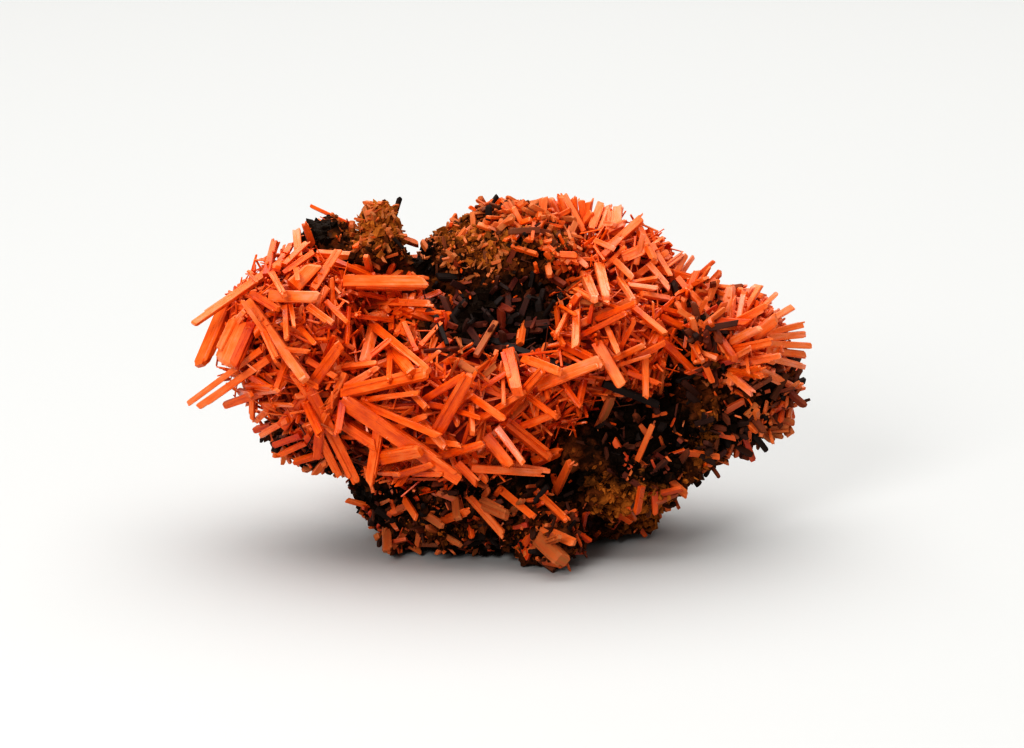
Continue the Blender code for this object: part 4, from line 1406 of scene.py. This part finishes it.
@dataclass
class Finish:
    """A material under way: its graph, its shader, its shared marks and the look that the mesh carries."""

    name: str
    marks: bpy.types.NodeTree
    place: str

    def __post_init__(self) -> None:
        """Start the material."""
        self.material = bpy.data.materials.new(self.name)
        self.material.use_nodes = True
        self.graph = Graph(self.material.node_tree)
        self.shader = self.material.node_tree.nodes["Principled BSDF"]
        place = self.graph.add("ShaderNodeTexCoord", {}).outputs[self.place]
        self.marked = self.graph.add("ShaderNodeGroup", {0: place}, node_tree=self.marks).outputs
        look = self.graph.add("ShaderNodeAttribute", {}, attribute_name="look")
        self.look = self.graph.add("ShaderNodeSeparateColor", {0: look.outputs["Color"]}).outputs
        self.last_look = look.outputs["Alpha"]


@dataclass(frozen=True)
class CrocoiteFinish:
    """Bright lead chromate with earthy and black coats."""

    red: Colour = (0.44, 0.015, 0.001, 1)
    orange: Colour = (0.80, 0.118, 0.002, 1)
    pale: Colour = (0.82, 0.195, 0.045, 1)
    pink: Colour = (0.86, 0.285, 0.165, 1)
    tan: Colour = (0.36, 0.13, 0.036, 1)
    # soot colours the black coat, and on the cores it is painted shade
    soot: Colour = (0.016, 0.006, 0.003, 1)
    speck: Colour = (0.12, 0.018, 0.004, 1)
    refraction: float = 1.8
    gloss: float = 0.2

    def material(self) -> bpy.types.Material:
        """Make the material from a crystal's tint, coats and place along it.

        Returns:
            The material.
        """
        finish = Finish("crocoite", growth_lines(), "UV")
        graph, marked = finish.graph, finish.marked
        tint, dust, along = finish.look
        black = finish.last_look
        tint = graph.sum(tint, graph.ramp(marked["Lines"], 0, 1, -0.06, 0.06))
        tint = graph.sum(tint, graph.ramp(along, 0, 1, -0.16, 0.06))
        tint = graph.sum(tint, graph.ramp(marked["Clouds"], 0.3, 0.7, -0.2, 0.2))
        # The tint from the mesh includes painted top light, which moves up-facing sides towards pale and pink
        colour = graph.mix(graph.ramp(tint, 0.0, 0.5), self.red, self.orange)
        colour = graph.mix(graph.ramp(tint, 0.5, 0.8), colour, self.pale)
        colour = graph.mix(graph.ramp(tint, 0.8, 1.1), colour, self.pink)
        colour = graph.mix(graph.sum(marked["Specks"], 0.75, "MULTIPLY"), colour, self.speck)
        cover = graph.sum(dust, graph.ramp(marked["Lines"], 0, 1, 0.7, 1.15), "MULTIPLY")
        colour = graph.mix(cover, colour, self.tan)
        # Mix towards soot: the black coat, and on the cores painted shade of the depths
        colour = graph.mix(graph.ramp(black, 0.05, 0.9), colour, self.soot)
        earth = graph.sum(graph.sum(cover, black), 0.45, "MULTIPLY")
        graph.feed(finish.shader, {
            "Base Color": colour,
            "Roughness": graph.sum(graph.ramp(marked["Lines"], 0, 1, 0.2, 0.36), earth),
            "Normal": marked["Normal"],
            "IOR": self.refraction,
            "Specular IOR Level": self.gloss,
        })
        return finish.material


@dataclass(frozen=True)
class GossanFinish:
    """Crumbly brown iron oxide with ochre and black patches."""

    dark: Colour = (0.020, 0.006, 0.002, 1)
    middle: Colour = (0.16, 0.045, 0.012, 1)
    ochre: Colour = (0.44, 0.145, 0.024, 1)
    soot: Colour = (0.009, 0.004, 0.002, 1)
    glint: Colour = (1.0, 0.7, 0.5, 1)
    gloss: float = 0.12

    def material(self) -> bpy.types.Material:
        """Make the material from the gossan's blackness, ochre and chance.

        Returns:
            The material.
        """
        finish = Finish("gossan", earth_grain(), "Object")
        graph, coarse = finish.graph, finish.marked["Coarse"]
        black, ochre, chance = finish.look
        shade = graph.sum(graph.ramp(coarse, 0.3, 0.7), graph.ramp(chance, 0, 1, -0.6, 0.5))
        colour = graph.mix(shade, self.dark, self.middle)
        colour = graph.mix(graph.ramp(graph.sum(ochre, coarse), 0.75, 1.5), colour, self.ochre)
        sooted = graph.sum(black, graph.ramp(coarse, 0.3, 0.7, 0.25, -0.25))
        graph.feed(finish.shader, {
            "Base Color": graph.mix(graph.ramp(sooted, 0.2, 0.7), colour, self.soot),
            "Roughness": graph.ramp(black, 0, 1, 0.8, 0.5),
            "Normal": finish.marked["Normal"],
            "Specular IOR Level": self.gloss,
            "Specular Tint": self.glint,
        })
        return finish.material


@dataclass(frozen=True)
class Studio:
    """A near-white table, a wide soft light above, a softer one in front, a pale room and the camera."""

    table: float = 3.0
    table_colour: Colour = (0.5, 0.5, 0.49, 1)
    table_roughness: float = 0.7
    top_power: float = 18.0
    top_size: float = 1.7
    front_power: float = 2.5
    front_size: float = 0.25
    room: float = 0.3
    sensor: float = 36.0

    def lamp(self, name: str, place: Place, aim: Place, size: float, power: float) -> None:
        """Hang a square area light.

        Args:
            name: Its name.
            place: Where it hangs, in metres.
            aim: What it points at, in metres.
            size: Length of its side in metres.
            power: Watts.
        """
        light = bpy.data.lights.new(name, "AREA")
        light.size = size
        light.energy = power
        made = put(name, light)
        made.location = place
        way = Vector(aim) - Vector(place)
        made.rotation_euler = way.to_track_quat("-Z", "Y").to_euler()

    def lay_table(self) -> None:
        """Lay a flat square under the specimen."""
        side = self.table / 2
        mesh = bpy.data.meshes.new("table")
        corners = [(-side, -side, 0), (side, -side, 0), (side, side, 0), (-side, side, 0)]
        mesh.from_pydata(corners, [], [(0, 1, 2, 3)])
        white = bpy.data.materials.new("table_white")
        white.use_nodes = True
        shader = white.node_tree.nodes["Principled BSDF"]
        plain = {"Base Color": self.table_colour, "Roughness": self.table_roughness}
        Graph(white.node_tree).feed(shader, plain)
        mesh.materials.append(white)
        table = put("table", mesh)

    def build(self) -> None:
        """Lay the table, hang the lights and set the camera where the eye is."""
        self.lay_table()
        self.lamp("top_light", (0.0, 0.4, 1.0), (0, 0.3, 0), self.top_size, self.top_power)
        self.lamp("front_light", (-0.3, -0.6, 0.4), (0, 0, 0.03), self.front_size, self.front_power)
        world = bpy.data.worlds.new("room")
        world.use_nodes = True
        Graph(world.node_tree).feed(world.node_tree.nodes["Background"], {0: (1, 1, 1, 1), 1: self.room})
        scene = bpy.context.scene
        scene.world = world
        scene.view_settings.view_transform = "Standard"
        scene.view_settings.look = "High Contrast"
        lens = bpy.data.cameras.new("eye")
        lens.sensor_width = self.sensor
        lens.lens = self.sensor * EYE.distance / EYE.frame_width
        lens.clip_start = 0.01
        camera = put("eye", lens)
        camera.location = (EYE.place - MIDDLE) * MM
        camera.rotation_euler = (math.pi / 2 - EYE.tilt, 0, 0)
        scene.camera = camera


@dataclass
class Growths:
    """All the crystals on the specimen."""

    jackstraw_read: tuple[Planting, ...] = (
        Planting(LONG_PALE, JACKSTRAW, Palette.PALE), Planting(LONG_BRIGHT, JACKSTRAW, Palette.BRIGHT),
        Planting(LEFT_LOBE, JACKSTRAW, Palette.MIXED), Planting(UPPER_LEFT, JACKSTRAW, Palette.MIXED),
        Planting(FRONT, JACKSTRAW, Palette.ORANGE), Planting(CENTRE, JACKSTRAW, Palette.MIXED),
        Planting(UPPER_RIGHT, JACKSTRAW, Palette.PINK), Planting(BROWNED, JACKSTRAW, Palette.DEEP),
        Planting(BLACKENED, JACKSTRAW, Palette.DEEP))
    jackstraw: Thicket = Thicket(JACKSTRAW, 1700, (8.0, 20.0), (0.4, 1.2), (1.1, 5.6), 0.25, 0.5)
    slivers: Thicket = Thicket(JACKSTRAW, 1500, (2.0, 6.0), (0.2, 0.5), (-0.6, 2.0), 0.7, 2.0,
                               companions=(0, 0))
    spray_read: Planting = Planting(SPRAY, RIGHT_SPRAY, Palette.PINK)
    spray: Thicket = Thicket(RIGHT_SPRAY, 420, (3.0, 6.5), (0.5, 1.4), (0.4, 3.0), 0.5, 0.8, Palette.PINK,
                             core=(35.6, 2.0, 29.0))
    tangle: Thicket = Thicket(RIGHT_SPRAY, 260, (3.0, 8.0), (0.35, 1.1), (0.0, 3.0), 0.5, 0.8, Palette.PINK,
                              companions=(0, 1))
    rear: Thicket = Thicket(REAR, 460)
    rear_spikes: Thicket = Thicket(REAR, 80, (6.0, 10.0), (0.9, 2.0), (0.5, 2.0), 0.9, 5.0, stand=0.25)
    lone: tuple[Planting, ...] = (
        Planting(LONE, GOSSAN, Palette.ORANGE, 1.0), Planting(FOOT, GOSSAN, Palette.DEEP, 1.0))
    cores: Cores = Cores(((JACKSTRAW, 3.2), (RIGHT_SPRAY, 3.0), (REAR, 3.6)))
    seed: int = 71

    def build(self, finish: bpy.types.Material) -> None:
        """Grow and place every growth.

        Args:
            finish: The crystals' material.
        """
        rng = np.random.default_rng(self.seed)

        def grown(*rules: Planting | Thicket) -> Laths:
            """The crystals of several rules."""
            return Laths.together([rule.laths(rng) for rule in rules])

        def show(laths: Laths, name: str, *stands_for: str) -> None:
            """Make crystals a piece."""
            laths.surface(rng).piece(name, finish, "crocoite", stands_for)

        read = grown(*self.jackstraw_read).with_companions(rng, 1, 3)
        show(read, "jackstraw_read_crystals", "crocoite_jackstraw")
        show(grown(self.jackstraw), "jackstraw_strewn_crystals")
        show(grown(self.slivers), "jackstraw_slivers")
        read = grown(self.spray_read).with_companions(rng, 2, 4)
        spray = Laths.together([read, grown(self.spray, self.tangle)])
        show(spray, "right_spray_crystals", "crocoite_right_spray")
        show(grown(self.rear, self.rear_spikes), "rear_cluster_crystals", "crocoite_rear_cluster")
        singles = sorted(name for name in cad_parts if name.startswith("single_crystal"))
        show(grown(*self.lone).with_companions(rng, 2, 4), "lone_crystals", *singles)
        self.cores.surface().piece("crystal_cores", finish, "crocoite")


@dataclass
class Gossan:
    """The rock and the small bodies on it."""

    rock: Rock = field(default_factory=Rock)
    crumbs: Grains = Grains(9500, 0.18, 1.35)
    flakes: Grains = Grains(8000, 0.24, 0.95, -0.15, 0.5, 0.6, FLAKE_ZONES)
    nodules: Grains = Grains(3800, 0.18, 0.75)
    litter: tuple[Litter, ...] = (
        Litter(760, Zones(((9, 57, 10, 5), (15, 51, 7, 5))), (1.8, 5.2), Palette.ORANGE, 0.5,
               (0.0, 0.8), 0.1),
        Litter(540, Zones(((-5, 53, 7, 5),)), (0.8, 2.6), Palette.ORANGE, 0.5, (0.6, 1.0), 0.15),
        Litter(400, Zones(((-20.5, 55.5, 4, 5),)), (0.8, 2.8), Palette.ORANGE, 0.6, (0.5, 1.0)),
        Litter(330, Zones(((-19, 43, 6, 4),)), (2.5, 9.5), Palette.MIXED, 0.25, (0.0, 0.2), 0.02),
        Litter(640, Zones(((-8, 7, 11, 6), (5, 6, 8, 6))), (0.8, 4.2), Palette.DEEP, 0.6, (0.2, 0.8), 0.55),
        Litter(230, Zones(((-1, 41, 9, 6), (33, 37, 3, 5))), (2.0, 5.5), Palette.DEEP, 0.9, (0.0, 0.3), 0.9),
        Litter(290, Zones(((34, 43, 4, 5), (31, 43, 3, 4), (33, 38, 3, 5))), (3.0, 8.0), Palette.MIXED, 0.4,
               (0.0, 0.4), 0.1),
        Litter(90, Zones(((44, 24.5, 5, 4),)), (1.5, 5.0), Palette.MIXED, 0.6, (0.2, 0.8), 0.1),
        Litter(290, Zones(((24, 21.5, 9, 8), (38, 22, 7, 5), (43, 30, 5, 6))), (1.5, 5.5), Palette.DEEP, 0.9,
               (0.2, 0.7), 0.8),
        Litter(300, Zones(((-29, 19, 10, 5),)), (1.0, 4.5), Palette.MIXED, 0.7, (0.0, 0.6), 0.3),
        Litter(700, Zones(((24, 12, 9, 6), (0, 30, 60, 40))), (0.6, 3.0), Palette.MIXED, 0.4,
               (0.0, 0.7), 0.1, behind=1.0),
    )
    seed: int = 17

    def build(self, stone: bpy.types.Material, crocoite: bpy.types.Material) -> None:
        """Make the rock and strew what lies on it.

        Args:
            stone: The gossan's material.
            crocoite: The crystals' material.
        """
        rng = np.random.default_rng(self.seed)
        ground = self.rock.build(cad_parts["gossan_matrix"])
        ground.piece("gossan_rock", stone, "gossan", ("gossan_matrix",))
        self.crumbs.crumbs(ground, rng).piece("gossan_crumbs", stone, "gossan")
        self.flakes.crumbs(ground, rng).piece("gossan_flakes", stone, "gossan")
        self.nodules.nodules(ground, rng).piece("gossan_nodules", stone, "gossan")
        bits = Laths.together([litter.laths(ground, rng) for litter in self.litter])
        bits.surface(rng).piece("crystal_litter", crocoite, "crocoite")


def main() -> None:
    """Build the specimen and the studio."""
    logging.basicConfig(level=logging.INFO, format="%(message)s")
    crocoite = CrocoiteFinish().material()
    stone = GossanFinish().material()
    Growths().build(crocoite)
    Gossan().build(stone, crocoite)
    Studio().build()


if __name__ == "__main__":
    main()
